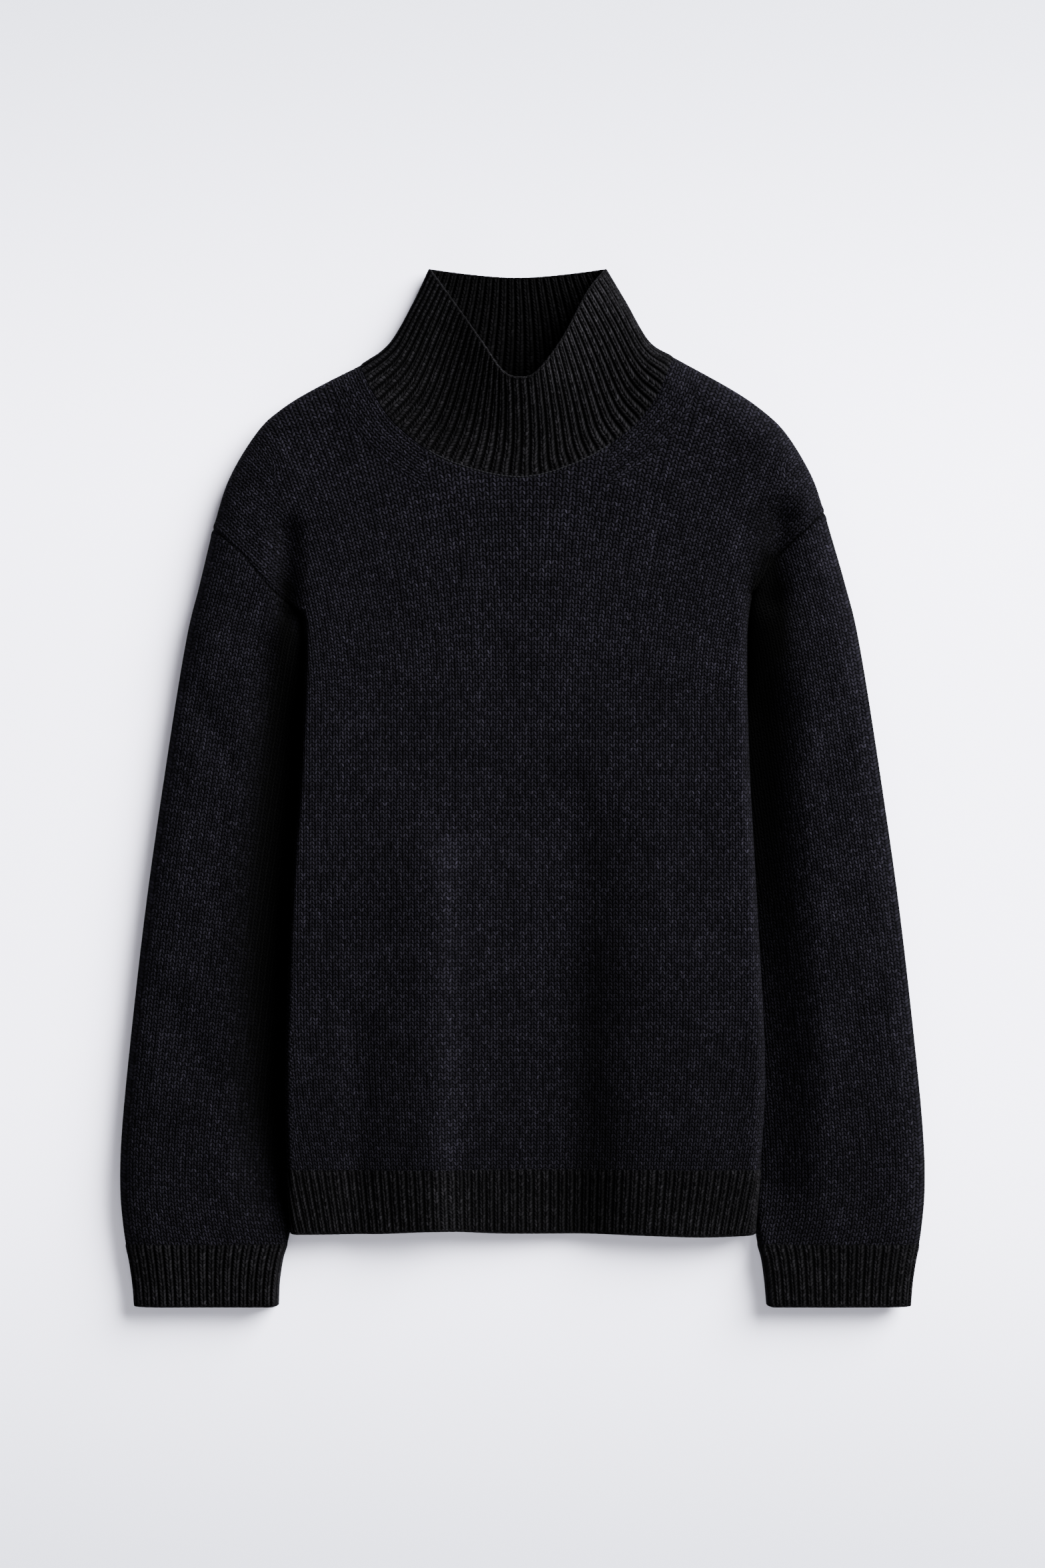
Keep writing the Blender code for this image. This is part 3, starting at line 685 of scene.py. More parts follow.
# %% [markdown]
# ## The stitch maps
#
# Knitters count columns of stitches as wales and rows of stitches as courses. This yarn gives
# a wale every 4.2 mm and a course every 2.8 mm low on the body to 3.1 mm at the shoulders,
# where its own weight has drawn it out. A stitch map gives every place on a panel its wale
# number and its course number, and the material draws the V stitches from those two numbers
# alone. They are kept as an ordinary UV map.
#
# On the body the wales run straight up to the chest, then spread towards the shoulders. Past
# the crease at each underarm they turn to run beside the armhole. Near the hem the sides are
# drawn in, so the wales lean. Beside the neck the outer wales are turned to follow the seam,
# as a fully fashioned neckline is made.
#
# One map can't turn sharply without squeezing its stitches. So the strip beside the neck and
# the part past each crease have a second map, "strip", and an attribute says which to use.

# %% Stitch counts, mm
WALE = 4.2
COURSE = 2.95            # the mean, used beside the neck
SLEEVE_COURSE = 2.83
RIB_COURSE = 2.7
CUFF_RIBS = 40           # raised columns all round a cuff
COLLAR_FRONT_RIBS = 42
COLLAR_BACK_RIBS = 26
FINE = np.linspace(0.0, 1.0, 600)
FINE_MM = np.arange(-450.0, 450.0, 0.5)
COURSE_LEVELS = np.interp(FINE_MM, [-330.0, 20.0, 110.0, 240.0], [2.80, 2.82, 3.06, 3.14])
COURSES_UP = np.cumsum(0.5 / COURSE_LEVELS)
RIB_WIDTHS = np.interp(FINE_MM, [-150.0, -86.0, -33.0, 20.0, 47.0, 100.0, 150.0],
                       [6.2, 6.9, 5.5, 6.1, 5.8, 7.1, 6.3])
print("100 mm of cloth holds", round(100.0 / WALE, 1), "wales and", round(100.0 / COURSE, 1),
      "courses")


def roll_surplus(gap, width):
    """How much longer the cloth is than its plan, from a rolled edge inwards to `gap`."""
    fine = np.linspace(0.0, np.pi / 2.0, 200)
    arc_gap = width * (1.0 - np.cos(fine))
    steps = np.hypot(np.diff(arc_gap), np.diff(SIDE_HEIGHT * np.sin(fine)))
    arc = np.concatenate([[0.0], np.cumsum(steps)])
    surplus = (arc[-1] - arc) - (width - arc_gap)
    return np.interp(gap, arc_gap, surplus)


# %% How the wales spread
SPREAD_START = 60.0      # the wales start to spread at this level
SPREAD_RUN = 202.0       # and this far above it
SPREAD_MOST = 0.41       # they have spread by this share
SPREAD_POWER = 1.9


def plan_of(points):
    """The plan places of a grid of points, one after another."""
    return points.reshape(-1, 3)[:, :2]


def spread(y):
    """How far the wales have spread at a level above the chest, and how fast they do."""
    high = np.clip((y - SPREAD_START) / SPREAD_RUN, 0.0, None)
    rate = SPREAD_MOST * SPREAD_POWER / SPREAD_RUN * high ** (SPREAD_POWER - 1.0)
    return SPREAD_MOST * high ** SPREAD_POWER, rate


SHOULDER_LEVEL = np.array([SHOULDER[-1].left_y])
print("at the neck the wales are", 1.0 + spread(SHOULDER_LEVEL)[0].round(2), "times as wide")

# %% Stitches beside an armhole seam
CAP_WALES = (211.0, 197.0)   # width of each half of the body at its armhole seam
CAP_FOOT = 185.0         # distance up the cloth at which the armhole seam starts
CREASES = (([130.0, 190.0, 258.0], [165.0, 168.0, 190.0]),     # how far out the creases are
           ([150.0, 190.0, 258.0], [178.0, 182.0, 196.0]))


def cap_stitches(half, place):
    """Wale and course positions beside one armhole seam, in mm, and how far past the crease
    each place is."""
    x, y = place.T
    direction = 2.0 * half - 1.0
    underarm, tip = ARMHOLE_LINE[half](np.array([0.0, 1.0]))
    run = (tip - underarm) / np.hypot(*(tip - underarm))
    across_run = np.array([-run[1], run[0]]) * direction
    wale = direction * (CAP_WALES[half] - (place - underarm) @ across_run)
    course = CAP_FOOT + (place - underarm) @ run
    return wale, course, x * direction - np.interp(y, *CREASES[half])


SHOULDER_TIP = ARMHOLE_LINE[0](np.ones(1))
print("course at the tip of the left shoulder, mm:", cap_stitches(0, SHOULDER_TIP)[1].round(1))

# %% Stitch map of the body
DRAWN_START = -150.0     # below this level the sides are drawn in
DRAWN_RUN = 125.0        # and this far below it
DRAWN_BY = 11.0          # they are drawn in by this much
HALF_WIDTH = 150.0       # of the body there
CREASE_TOP = 222.0       # above this level the wales turn gradually, with no crease
SHOULDER_TOP = 258.0
SOFT_TURN = (12.0, 26.0)     # half width of that turn at these two levels
TURN_FADE = 14.0         # height over which it sets in


def body_stitches(place):
    """Wale and course numbers over the body. The wales that are left over where the edge
    rolls down are hidden in the valley beside the sleeve."""
    x, y = place[:, 0], place[:, 1]
    side = np.sign(x)
    amount, rate = spread(y)
    wale = x / (1.0 + amount)
    course = y + x ** 2 / 2.0 * rate / (1.0 + amount)
    drawn_in = np.clip((DRAWN_START - y) / DRAWN_RUN, 0.0, None) ** 2
    wale = wale + side * DRAWN_BY * drawn_in * (np.abs(x) / HALF_WIDTH) ** 2
    wale = wale + side * roll_surplus(gap_to(BODY_EDGES, place), BODY_ROLL)

    for half in (0, 1):
        cap_wale, cap_course, past = cap_stitches(half, place)
        soft = np.interp(y, [CREASE_TOP, SHOULDER_TOP], SOFT_TURN)
        turned = ease(0.5 + past / (2.0 * soft)) * ease((y - CREASE_TOP) / TURN_FADE)
        wale = wale + (cap_wale - wale) * turned
        course = course + (cap_course - course) * turned
    return wale / WALE, np.interp(course, FINE_MM, COURSES_UP)


def panel_stitches(points, across, along):
    """Wale and course numbers over the front's or the back's grid."""
    return [part.reshape(across.shape) for part in body_stitches(plan_of(points))]


CHEST_WALES = body_stitches(CHEST_LINE)[0]
print("wales in 300 mm of the chest:", (CHEST_WALES[-1] - CHEST_WALES[0]).round(1))

# %% Second stitch map of the front
STRIP_TOP = 235.0        # up to this level the parts past the creases use the second map
STRIP_REACH = 20.0       # which starts this far before the creases
STRIP_LIMIT = 250.0      # and ends at this level
FASHIONED = 25.0         # width of the turned strip beside the neck
NECK_MIDDLE = -4.0
PLAIN_NECK = 66.0        # half width of the middle of the neck, which has no such strip
CHANGE = 20.0            # width over which the share that picks a map goes from 0 to 1
SHARP_CHANGE = 8.0       # the same at a crease


def neck_strip(place):
    """Wale and course numbers that follow the neck seam, and where they take over (above
    one half)."""
    gap, travelled = beside(NECK_FRONT_LINE(FINE), place)
    near = np.clip(0.5 + (FASHIONED - gap) / CHANGE, 0.0, 1.0)
    off_middle = np.abs(place[:, 0] - NECK_MIDDLE)
    sideways = np.clip(0.5 + (off_middle - PLAIN_NECK) / CHANGE, 0.0, 1.0)
    return gap / WALE, travelled / COURSE, np.minimum(near, sideways)


def front_strip(points):
    """Second stitch map of the front, for the strip beside the neck and the parts past the
    creases, and where it takes over (above one half)."""
    place = plan_of(points)
    y = place[:, 1]
    wale, course, turned = neck_strip(place)
    for half in (0, 1):
        cap_wale, cap_course, past = cap_stitches(half, place)
        taken = 0.5 + np.minimum(past, STRIP_TOP - y) / SHARP_CHANGE
        near_cap = (past > -STRIP_REACH) & (y < STRIP_LIMIT)
        wale = np.where(near_cap, cap_wale / WALE, wale)
        course = np.where(near_cap, np.interp(cap_course, FINE_MM, COURSES_UP), course)
        turned = np.where(near_cap, np.clip(taken, 0.0, 1.0), turned)
    return [part.reshape(points.shape[:2]) for part in (wale, course, turned)]


print("the turned strip beside the neck is", round(FASHIONED / WALE), "wales wide")

# %% Stitch maps of the sleeves
STRAIGHT_DOWN = -230.0   # below this level the courses no longer follow the outer fold
STRAIGHT_RUN = 170.0     # but a straight line, this long


def sleeve_stitches(half):
    """Wale and course numbers over a sleeve: its wales run beside the outer fold, and meet
    in a seam along the inner one."""
    outer_line = OUTER_LINE[half](FINE)
    straight = outer_line[outer_line[:, 1] > STRAIGHT_DOWN]
    heading = straight[-1] - straight[-2]
    straight = np.vstack([straight, straight[-1] + heading / np.hypot(*heading) * STRAIGHT_RUN])

    def stitches(points, across, along):
        place = plan_of(points)
        gap = gap_to([outer_line], place)
        travelled = beside(straight, place)[1]
        side = np.where(across.ravel() <= 0.5, 1.0, -1.0)
        wale = side * (gap + roll_surplus(gap, ROLL)) / WALE
        return wale.reshape(across.shape), -travelled.reshape(across.shape) / SLEEVE_COURSE

    return stitches


print("a sleeve has a course every", SLEEVE_COURSE, "mm along its outer fold")

# %% Stitch maps of the ribs


def travel(points, axis):
    """Distance over the cloth from the start of a grid of points, along one of its axes."""
    steps = np.linalg.norm(np.diff(points, axis=axis), axis=2)
    start = np.zeros_like(np.take(steps, [0], axis=axis))
    return np.concatenate([start, np.cumsum(steps, axis=axis)], axis=axis)


def hem_stitches(points, across, along):
    """Rib and course numbers over a hem. The ribs carry on the lean of the wales above, and
    the trough in the front draws some of them closer together."""
    wale = body_stitches(plan_of(points))[0]
    ribs = np.interp(wale * WALE, FINE_MM, np.cumsum(0.5 / RIB_WIDTHS))
    return ribs.reshape(across.shape), travel(points, 0) / RIB_COURSE


def cuff_stitches(points, across, along):
    """Rib and course numbers over a cuff: a whole number of ribs goes round it, and each
    runs straight from the sleeve to the open end."""
    round_it = travel(points, 1).mean(axis=0)
    ribs = CUFF_RIBS * round_it / round_it[-1] + np.zeros_like(across)
    return ribs, -travel(points, 0) / RIB_COURSE


def collar_stitches(points, across, along):
    """Rib and course numbers over the collar, whose front has the wider ribs."""
    round_it = travel(points, 1)
    middle = round_it[:, [np.searchsorted(across[0], 0.5)]]
    front = COLLAR_FRONT_RIBS * round_it / middle
    back = COLLAR_BACK_RIBS * (round_it - middle) / (round_it[:, -1:] - middle)
    ribs = np.where(across <= 0.5, front, COLLAR_FRONT_RIBS + back)
    return ribs, travel(points, 0) / RIB_COURSE


print("the collar has", COLLAR_FRONT_RIBS + COLLAR_BACK_RIBS, "ribs, and a cuff", CUFF_RIBS)

# %% [markdown]
# ## Painted shade in the dark valleys
#
# A real sweater is looser than this model, so the valley beside each sleeve and the crease
# above each underarm go deeper and take more light away. A deeper valley here would have to
# go through the surface. Instead each panel carries a painted shade, which falls towards those
# lines, the armhole seams, the front's trough and the lower body, and is low on the inner faces,
# and the yarn's colour is darkened by it. A few crests and the collar's V edge get a painted
# highlight, where they catch the light.

# %% Tables of the yarn's painted light and shade
Reach = namedtuple("Reach", "y left left_near left_run right right_near right_run")
VALLEYS = [                                    # painted shade: light lost, and how far out it comes back
    Reach(-335.0, 0.20, 0.0, 32.0, 0.0, 10.0, 42.0),
    Reach(-300.0, 0.55, 4.0, 36.0, 0.0, 10.0, 46.0),
    Reach(-240.0, 0.93, 13.0, 42.0, 0.14, 12.0, 44.0),
    Reach(-140.0, 0.97, 19.0, 43.0, 0.56, 11.0, 40.0),
    Reach(-60.0, 0.97, 20.0, 40.0, 0.90, 11.0, 30.0),
    Reach(0.0, 0.97, 20.0, 34.0, 0.95, 13.0, 32.0),
    Reach(60.0, 0.965, 18.0, 27.0, 0.96, 15.0, 33.0),
    Reach(100.0, 0.955, 13.0, 27.0, 0.955, 14.0, 30.0),
    Reach(145.0, 0.0, 8.0, 24.0, 0.0, 12.0, 28.0),
]
SHADES = [                                     # painted shade in creases, or painted highlights on crests
    Fold(-169.0, 146.0, -169.0, 104.0, 0.60, 11.0, 8.0),
    Fold(-171.0, 180.0, -169.0, 108.0, 0.36, 12.0, 8.0),
    Fold(179.0, 160.0, 178.0, 100.0, 0.60, 13.0, 10.0),
    Fold(179.0, 192.0, 176.0, 108.0, 0.55, 13.0, 11.0),
    Fold(167.0, 150.0, 166.0, 20.0, 0.40, 4.0, 6.0),
    Fold(187.0, 142.0, 187.0, 98.0, 0.45, 8.0, 8.0),
    Fold(157.0, 180.0, 158.0, 20.0, -0.30, 6.0, 4.0),
    Fold(161.0, 0.0, 171.0, -200.0, -0.30, 6.0, 5.0),
    Fold(171.0, -215.0, 168.0, -275.0, -0.30, 6.0, 5.0),
    Fold(62.0, -40.0, 51.0, -330.0, 0.31, 26.0, 26.0),
    Fold(50.0, -130.0, 50.0, -330.0, 0.31, 20.0, 20.0),
    Fold(-53.0, -40.0, -53.0, -330.0, -0.25, 12.0, 9.0),
    Fold(-42.0, 318.0, -40.0, 272.0, 0.42, 26.0, 15.0),
    Fold(20.0, 308.0, 46.0, 350.0, -0.70, 12.0, 22.0),
    Fold(-62.0, 368.0, -15.0, 299.6, -0.12, 2.4, 1.8),
    Fold(-30.0, 321.0, -15.0, 299.6, -0.32, 4.0, 2.0),
    Fold(-13.0, 298.4, 4.0, 295.0, -0.38, 2.4, 1.6),
    Fold(58.0, 292.0, 64.0, 332.0, -0.16, 14.0, 20.0),
]


print(len(SHADES), "creases and crests have a brightness of their own")

# %% Painted light and shade on the yarn
SEAM_LOSS = (0.64, 0.93)                       # painted shade: light lost in the left and right armhole seam
SEAM_WIDTH = 1.2
MOST_LOST, MOST_GAINED = 0.97, 0.8             # where several of them add up
LOWER_LOSS = 0.16                              # painted shade: light lost over the lower half of the body
LOWER_START = -20.0
LOWER_RUN = 260.0


def valley_light(place):
    """Share of the light that is left beside the body's edges, on the sleeves' side, painted into
    the yarn as shade.
    """
    x, y = place.T
    table = np.array(VALLEYS)[:, 1:].T
    levels = [row.y for row in VALLEYS]
    at = [np.interp(y, levels, values) for values in table]
    on_left = x < 0.0
    lost, near, run = (np.where(on_left, at[n], at[n + 3]) for n in range(3))
    edge = np.zeros(len(place))
    for half in (0, 1):
        line = np.vstack([BODY_SIDE_LINE[half](SAMPLES), UPPER_SIDE_LINE[half](SAMPLES)])
        level_with = np.interp(y, line[:, 1], line[:, 0])
        edge = np.where(on_left == (half == 0), level_with, edge)
    outside = np.abs(x) > np.abs(edge)
    far = np.where(outside, ease((gap_to(BODY_EDGES, place) - near) / run), 1.0)
    return 1.0 - lost * (1.0 - far)


def painted_light(points):
    """Painted light and shade on the yarn at each point of a grid. It is 1 on open, level cloth.
    """
    place = plan_of(points)
    crease = np.clip(fold_height(SHADES, place), -MOST_GAINED, MOST_LOST)
    lower = 1.0 - LOWER_LOSS * ease((LOWER_START - place[:, 1]) / LOWER_RUN)
    seam_gap = gap_to(ARMHOLE_SEAMS, place)
    seam = np.where(place[:, 0] < 0.0, *SEAM_LOSS) * np.exp(-(seam_gap / SEAM_WIDTH) ** 2)
    bright = lower * valley_light(place) * (1.0 - crease) * (1.0 - seam)
    return bright.reshape(points.shape[:2])


TROUGH = np.array([[[60.0, -200.0, 0.0]]])
print("brightness of the yarn in the front's trough:", painted_light(TROUGH).round(2).item())


# %% [markdown]
# ## A panel of cloth
#
# Every panel is made the same way. A flat grid is extruded once, which gives a slab with a
# top, an underside and four sides. Its corners are then moved: the top to the skin, the
# underside to one wall's thickness below it. For a tube, the two end faces of the slab are
# taken away and its ends are welded. A Solidify modifier would be shorter, but it gives both
# faces the same relief, and a single rib has its grooves on one face behind the ridges of
# the other.
#
# The grid is closer together at the folded edges, where the surface turns fastest.

# %% Rows, columns and outward directions of a grid


def crowded(length, spacing, crowd=10):
    """Shares from 0 to 1, about `spacing` apart, that close up evenly towards both ends."""
    end = spacing * crowd / 2.0 / length
    rise = end * (np.arange(crowd) / crowd) ** 2
    middle = np.linspace(end, 1.0 - end, max(2, round((1.0 - 2.0 * end) * length / spacing) + 1))
    return np.concatenate([rise, middle, 1.0 - rise[::-1]])


def around_tube(top, under=None):
    """Turn shares across a tube's top, and under it, into shares around the tube."""
    under = top if under is None else under
    over = np.arccos(1.0 - 2.0 * top) / (2.0 * np.pi)
    back = 1.0 - np.arccos(1.0 - 2.0 * under) / (2.0 * np.pi)
    return np.concatenate([over, back[::-1][1:]])


def facing(points, closed):
    """Outward directions over a grid of points."""
    if closed:
        wrapped = np.concatenate([points[:, -2:-1], points, points[:, 1:2]], axis=1)
        sideways = wrapped[:, 2:] - wrapped[:, :-2]
    else:
        sideways = np.gradient(points, axis=1)
    upward = np.gradient(points, axis=0)
    normal = np.cross(sideways, upward)
    return normal / np.linalg.norm(normal, axis=2)[..., None]


print("100 mm in steps of 3 mm, closer at both ends, has", len(crowded(100.0, 3.0)), "rows")

# %% A flat slab of cloth


def slab(columns, rows, closed):
    """A flat slab of columns by rows, with its corners at whole numbers and its top at 1."""
    bm = bmesh.new()
    bmesh.ops.create_grid(bm, x_segments=columns - 1, y_segments=rows - 1, size=0.5)
    bmesh.ops.translate(bm, verts=bm.verts[:], vec=(0.5, 0.5, 0.0))
    lifted = bmesh.ops.extrude_face_region(bm, geom=bm.faces[:], use_keep_orig=True)
    top = [part for part in lifted["geom"] if isinstance(part, bmesh.types.BMVert)]
    bmesh.ops.translate(bm, verts=top, vec=(0.0, 0.0, 1.0))
    bmesh.ops.recalc_face_normals(bm, faces=bm.faces[:])
    if closed:
        ends = [face for face in bm.faces if abs(face.normal.x) > 0.5]
        bmesh.ops.delete(bm, geom=ends, context="FACES_ONLY")
    bmesh.ops.scale(bm, verts=bm.verts[:], vec=(columns - 1, rows - 1, 1.0))
    return bm


sample = slab(4, 3, closed=False)
print("a slab of 4 by 3 corners has", len(sample.faces), "faces")
sample.free()

# %% The two faces of a panel


def two_faces(points, wales, relief, faces_down, closed):
    """A panel's outer and inner faces, with their relief, as grids of points. A flat panel
    ends at the level of its neighbour's edge, and nothing goes below the surface."""
    normal = -facing(points, closed) if faces_down else facing(points, closed)
    out, back = relief(points, wales)
    outer = points + normal * out[..., None]
    inner = points - normal * (WALL - back)[..., None]
    if not closed:
        seam_level = edge_height(points.reshape(-1, 3)).reshape(out.shape)
        clamp = np.minimum if faces_down else np.maximum
        side = -BUTT / 2.0 if faces_down else BUTT / 2.0
        for face in (outer, inner):
            face[..., 2] = clamp(face[..., 2], seam_level + side)
    outer[..., 2] = np.maximum(outer[..., 2], 0.0)
    return outer, inner


def shaped_slab(name, outer, inner, closed):
    """Move a slab's corners to the two faces. Returns its mesh, and each corner's column,
    row and depth."""
    bm = slab(outer.shape[1], outer.shape[0], closed)
    mesh = bpy.data.meshes.new(name)
    bm.to_mesh(mesh)
    bm.free()
    corner = np.zeros(len(mesh.vertices) * 3, np.float32)
    mesh.vertices.foreach_get("co", corner)
    column, row, depth = np.rint(corner.reshape(-1, 3)).astype(int).T
    placed = np.where((depth == 0)[:, None], outer[row, column], inner[row, column]) * MM
    mesh.vertices.foreach_set("co", placed.astype(np.float32).ravel())
    return mesh, column, row, depth


print("a panel is", WALL, "mm thick between its faces, before their relief")

# %% A panel of cloth


def give_values(mesh, title, values):
    """Give each vertex a value for the material to read."""
    layer = mesh.attributes.new(title, "FLOAT", "POINT")
    layer.data.foreach_set("value", values.astype(np.float32))


def give_map(mesh, title, wales, courses):
    """Give each vertex its place in a stitch map, on every face that meets there."""
    at_corner = np.zeros(len(mesh.loops), np.int32)
    mesh.loops.foreach_get("vertex_index", at_corner)
    layer = mesh.uv_layers.new(name=title)
    pairs = np.column_stack([wales, courses])[at_corner]
    layer.data.foreach_set("uv", pairs.astype(np.float32).ravel())


def knit_panel(name, skin, columns, rows, stitches, relief, material,
               faces_down=False, closed=False, strip=None, behind=0.0, inside=0.35):
    """Build one panel. `stitches` numbers its wales and courses, `relief` raises its outer
    and inner faces in mm, `strip` gives a second stitch map and where it takes over,
    `behind` is how many wales the pattern on the inner face is moved by, and `inside` is the
    painted shade on that face: how bright its yarn is drawn."""
    across, along = np.meshgrid(columns, rows)
    points = skin(across.ravel(), along.ravel()).reshape(*across.shape, 3)
    wales, courses = stitches(points, across, along)
    outer, inner = two_faces(points, wales, relief, faces_down, closed)
    mesh, column, row, depth = shaped_slab(name, outer, inner, closed)

    # Give each corner its painted light and shade and its place in the stitch maps.
    shade = painted_light(points)[row, column] * np.where(depth == 0, 1.0, inside)
    give_values(mesh, "shade", shade)
    maps = {"stitches": (wales, courses)}
    if strip is not None:
        *maps["strip"], turned = strip(points)
        give_values(mesh, "turned", turned[row, column])
    for title, (u, v) in maps.items():
        give_map(mesh, title, u[row, column] + behind * depth, v[row, column])

    # Close a tube, turn its faces outwards and smooth it.
    bm = bmesh.new()
    bm.from_mesh(mesh)
    if closed:
        bmesh.ops.remove_doubles(bm, verts=bm.verts[:], dist=1e-6)
    if bm.calc_volume(signed=True) < 0.0:
        bmesh.ops.reverse_faces(bm, faces=bm.faces[:])
    bm.to_mesh(mesh)
    bm.free()
    mesh.shade_smooth()
    mesh.set_sharp_from_angle(angle=np.radians(60.0))
    mesh.materials.append(material)
    piece = bpy.data.objects.new(name, mesh)
    bpy.context.scene.collection.objects.link(piece)
    area = sum(face.area for face in mesh.polygons) / 2.0
    print(f"{name}: {2 * len(mesh.polygons)} triangles, {area:.4f} square metres a side")
    return piece


# %% [markdown]
# ## Relief: seams and ribs
#
# Where two panels are linked, the seam draws the cloth down into a narrow groove with a low
# swelling beside it. In single rib the raised columns take two thirds of the width, and the
# inner face has the same relief moved by half a rib. An open edge is bound off: the ribs run
# into a narrow raised strip, which then rounds over to the inner face.

# %% Relief of the seams, mm
SEAM_DEPTH = 0.55
SEAM_HALF_WIDTH = 0.9
SWELLING = 0.35          # height of the swelling beside a seam
SWELLING_GAP = 3.0       # its distance from the seam
SWELLING_HALF_WIDTH = 1.6
NECK_FOOT = 280.0        # above this level the groove fades out before the folded edge
GROOVE_FADE = 7.0


def groove_beside(lines, points):
    """The groove along a seam and the swelling beside it."""
    place = plan_of(points)
    gap = gap_to(lines, place)
    swelling = SWELLING * np.exp(-((gap - SWELLING_GAP) / SWELLING_HALF_WIDTH) ** 2)
    groove = SEAM_DEPTH * np.exp(-(gap / SEAM_HALF_WIDTH) ** 2)
    at_neck = place[:, 1] > NECK_FOOT
    shown = np.where(at_neck, ease(gap_to(OUTLINE, place) / GROOVE_FADE), 1.0)
    return ((swelling - groove) * shown).reshape(points.shape[:2])


def seam_relief(*lines):
    """Relief of a plain panel: flat but for its seams."""

    def relief(points, wales):
        out = groove_beside(sum(lines, []), points)
        return out, np.zeros_like(out)

    return relief


seam_middle = groove_beside(NECK_SEAM, np.array([[[*NECK_SEAM[0][80], 0.0]]]))
print("relief in the middle of a seam, mm:", seam_middle.round(2).item())

# %% Relief of the ribs, mm
GROOVE = 0.14            # half width of a groove, as a share of a rib
BOUND = 1.7              # width of the bound-off strip along an open edge
BOUND_RISE = 0.25        # how far that strip is raised
BOUND_START = 0.8        # distance outside it from which it rises, and over which length
BOUND_FADE = 1.2
LIP = 1.2                # radius of an open edge
RIB_RISE = 0.6           # height of the raised columns on the outer face
BEHIND_SHARE = 0.8       # depth of the inner face's grooves, as a share of the outer's
BEHIND_SINK = 0.4        # how far that face's raised columns lie below the plain cloth
SEAM_FADE = 2.5          # length over which the ribs form, from the seam
END_FADE = 1.6           # and over which their grooves grow shallow beside the open edge


def lip(distance):
    """How far a face draws back towards the middle of the cloth at an open edge."""
    share = np.clip(1.0 - distance / LIP, 0.0, 1.0)
    return LIP * (1.0 - np.sqrt(1.0 - share ** 2))


def gap_to_open_end(points, open_row):
    """Distance over the cloth to the open end, which is the first row (0) or the last (-1),
    and to the seam at the other end."""
    from_first = travel(points, 0)
    from_last = from_first[-1:] - from_first
    return (from_first, from_last) if open_row == 0 else (from_last, from_first)


def rib_relief(open_row, depth):
    """Relief of a ribbed piece, whose grooves are this deep."""

    def relief(points, ribs):
        from_end, from_seam = gap_to_open_end(points, open_row)
        offset = ribs % 1.0
        groove = np.exp(-(np.minimum(offset, 1.0 - offset) / GROOVE) ** 2)
        groove_behind = np.exp(-((offset - 0.5) / GROOVE) ** 2)
        deep = 0.5 + 0.5 * ease((from_end - LIP) / END_FADE)
        shown = ease(from_seam / SEAM_FADE) * deep
        bound = BOUND_RISE * ease((BOUND + BOUND_START - from_end) / BOUND_FADE)
        rounded = lip(from_end)
        out = (RIB_RISE - depth * groove) * shown + bound - rounded
        back = (BEHIND_SHARE * depth * groove_behind - BEHIND_SINK) * shown + rounded
        return out, back

    return relief


print("a groove is", 2.0 * GROOVE, "of a rib wide")

# %% The bound-off strip
CHAIN_STEP = 2.2         # length of a stitch in the bound-off strip


def bound_strip(open_row):
    """Stitch map of the bound-off strip: one chain of stitches that runs along the edge."""

    def strip(points):
        from_end = gap_to_open_end(points, open_row)[0]
        along_edge = travel(points[[open_row]], 1) + np.zeros_like(from_end)
        turned = np.clip(0.5 + (BOUND - from_end) / 2.0, 0.0, 1.0)
        return from_end / BOUND, along_edge / CHAIN_STEP, turned

    return strip


print("a bound-off strip is", BOUND, "mm wide")


# %% [markdown]
# ## The yarn
#
# One material draws all the knitting. It reads the stitch map and works out, for each place,
# which of a stitch's two legs it is on, how far along the leg and how far across it. The legs
# are round strands that lean apart from a point at the bottom, so they carry a rounded height
# for the bump, and the gaps between them are painted darker, as shade. Each leg gets its own
# tone, and a few are much lighter, as in a marled yarn. The panel's painted shade darkens the
# whole colour. Wool is rough and a little fuzzy, which is the sheen.
#
# An image of knitting would be quicker, but its stitches could not turn with the panels.
#
# The wool is carded and spun loosely, and left unpressed: it scatters light in all directions,
# so the shader is rough, with next to no highlight and only a breath of sheen.

# %% Helpers for colours and nodes


def paint(code):
    """Turn a six-digit sRGB colour into linear red, green, blue and a full alpha."""
    parts = [int(code[n:n + 2], 16) / 255.0 for n in (0, 2, 4)]
    linear = [v / 12.92 if v <= 0.04045 else ((v + 0.055) / 1.055) ** 2.4 for v in parts]
    return (*linear, 1.0)


def add(tree, kind, settings, inputs):
    """Add a node, set its options, and link or fill in its inputs. Returns its outputs."""
    node = tree.nodes.new(kind)
    for option, value in settings.items():
        setattr(node, option, value)
    for name, value in inputs.items():
        if isinstance(value, bpy.types.NodeSocket):
            tree.links.new(value, node.inputs[name])
        else:
            node.inputs[name].default_value = value
    return node.outputs


def work_out(tree, known, steps):
    """Add one arithmetic node for each step: its result's name, operation and inputs."""
    for result, operation, *parts in steps:
        inputs = {n: known[part] if isinstance(part, str) else part
                  for n, part in enumerate(parts)}
        known[result] = add(tree, "ShaderNodeMath", {"operation": operation}, inputs)[0]


print("the sRGB colour 808080 is", round(paint("808080")[0], 3), "in linear light")

# %% One stitch, worked out by nodes
SWAY = 160.0             # noise scales, per metre: a loop wanders over about 6 mm
FUZZ = 1300.0            # fibres, drawn as coarse as 0.8 mm, or they would not show
CLOUD = 28.0             # slow changes of shade over about 36 mm
DEPTH = 0.130            # how much darker the wool is than its colour under plain light


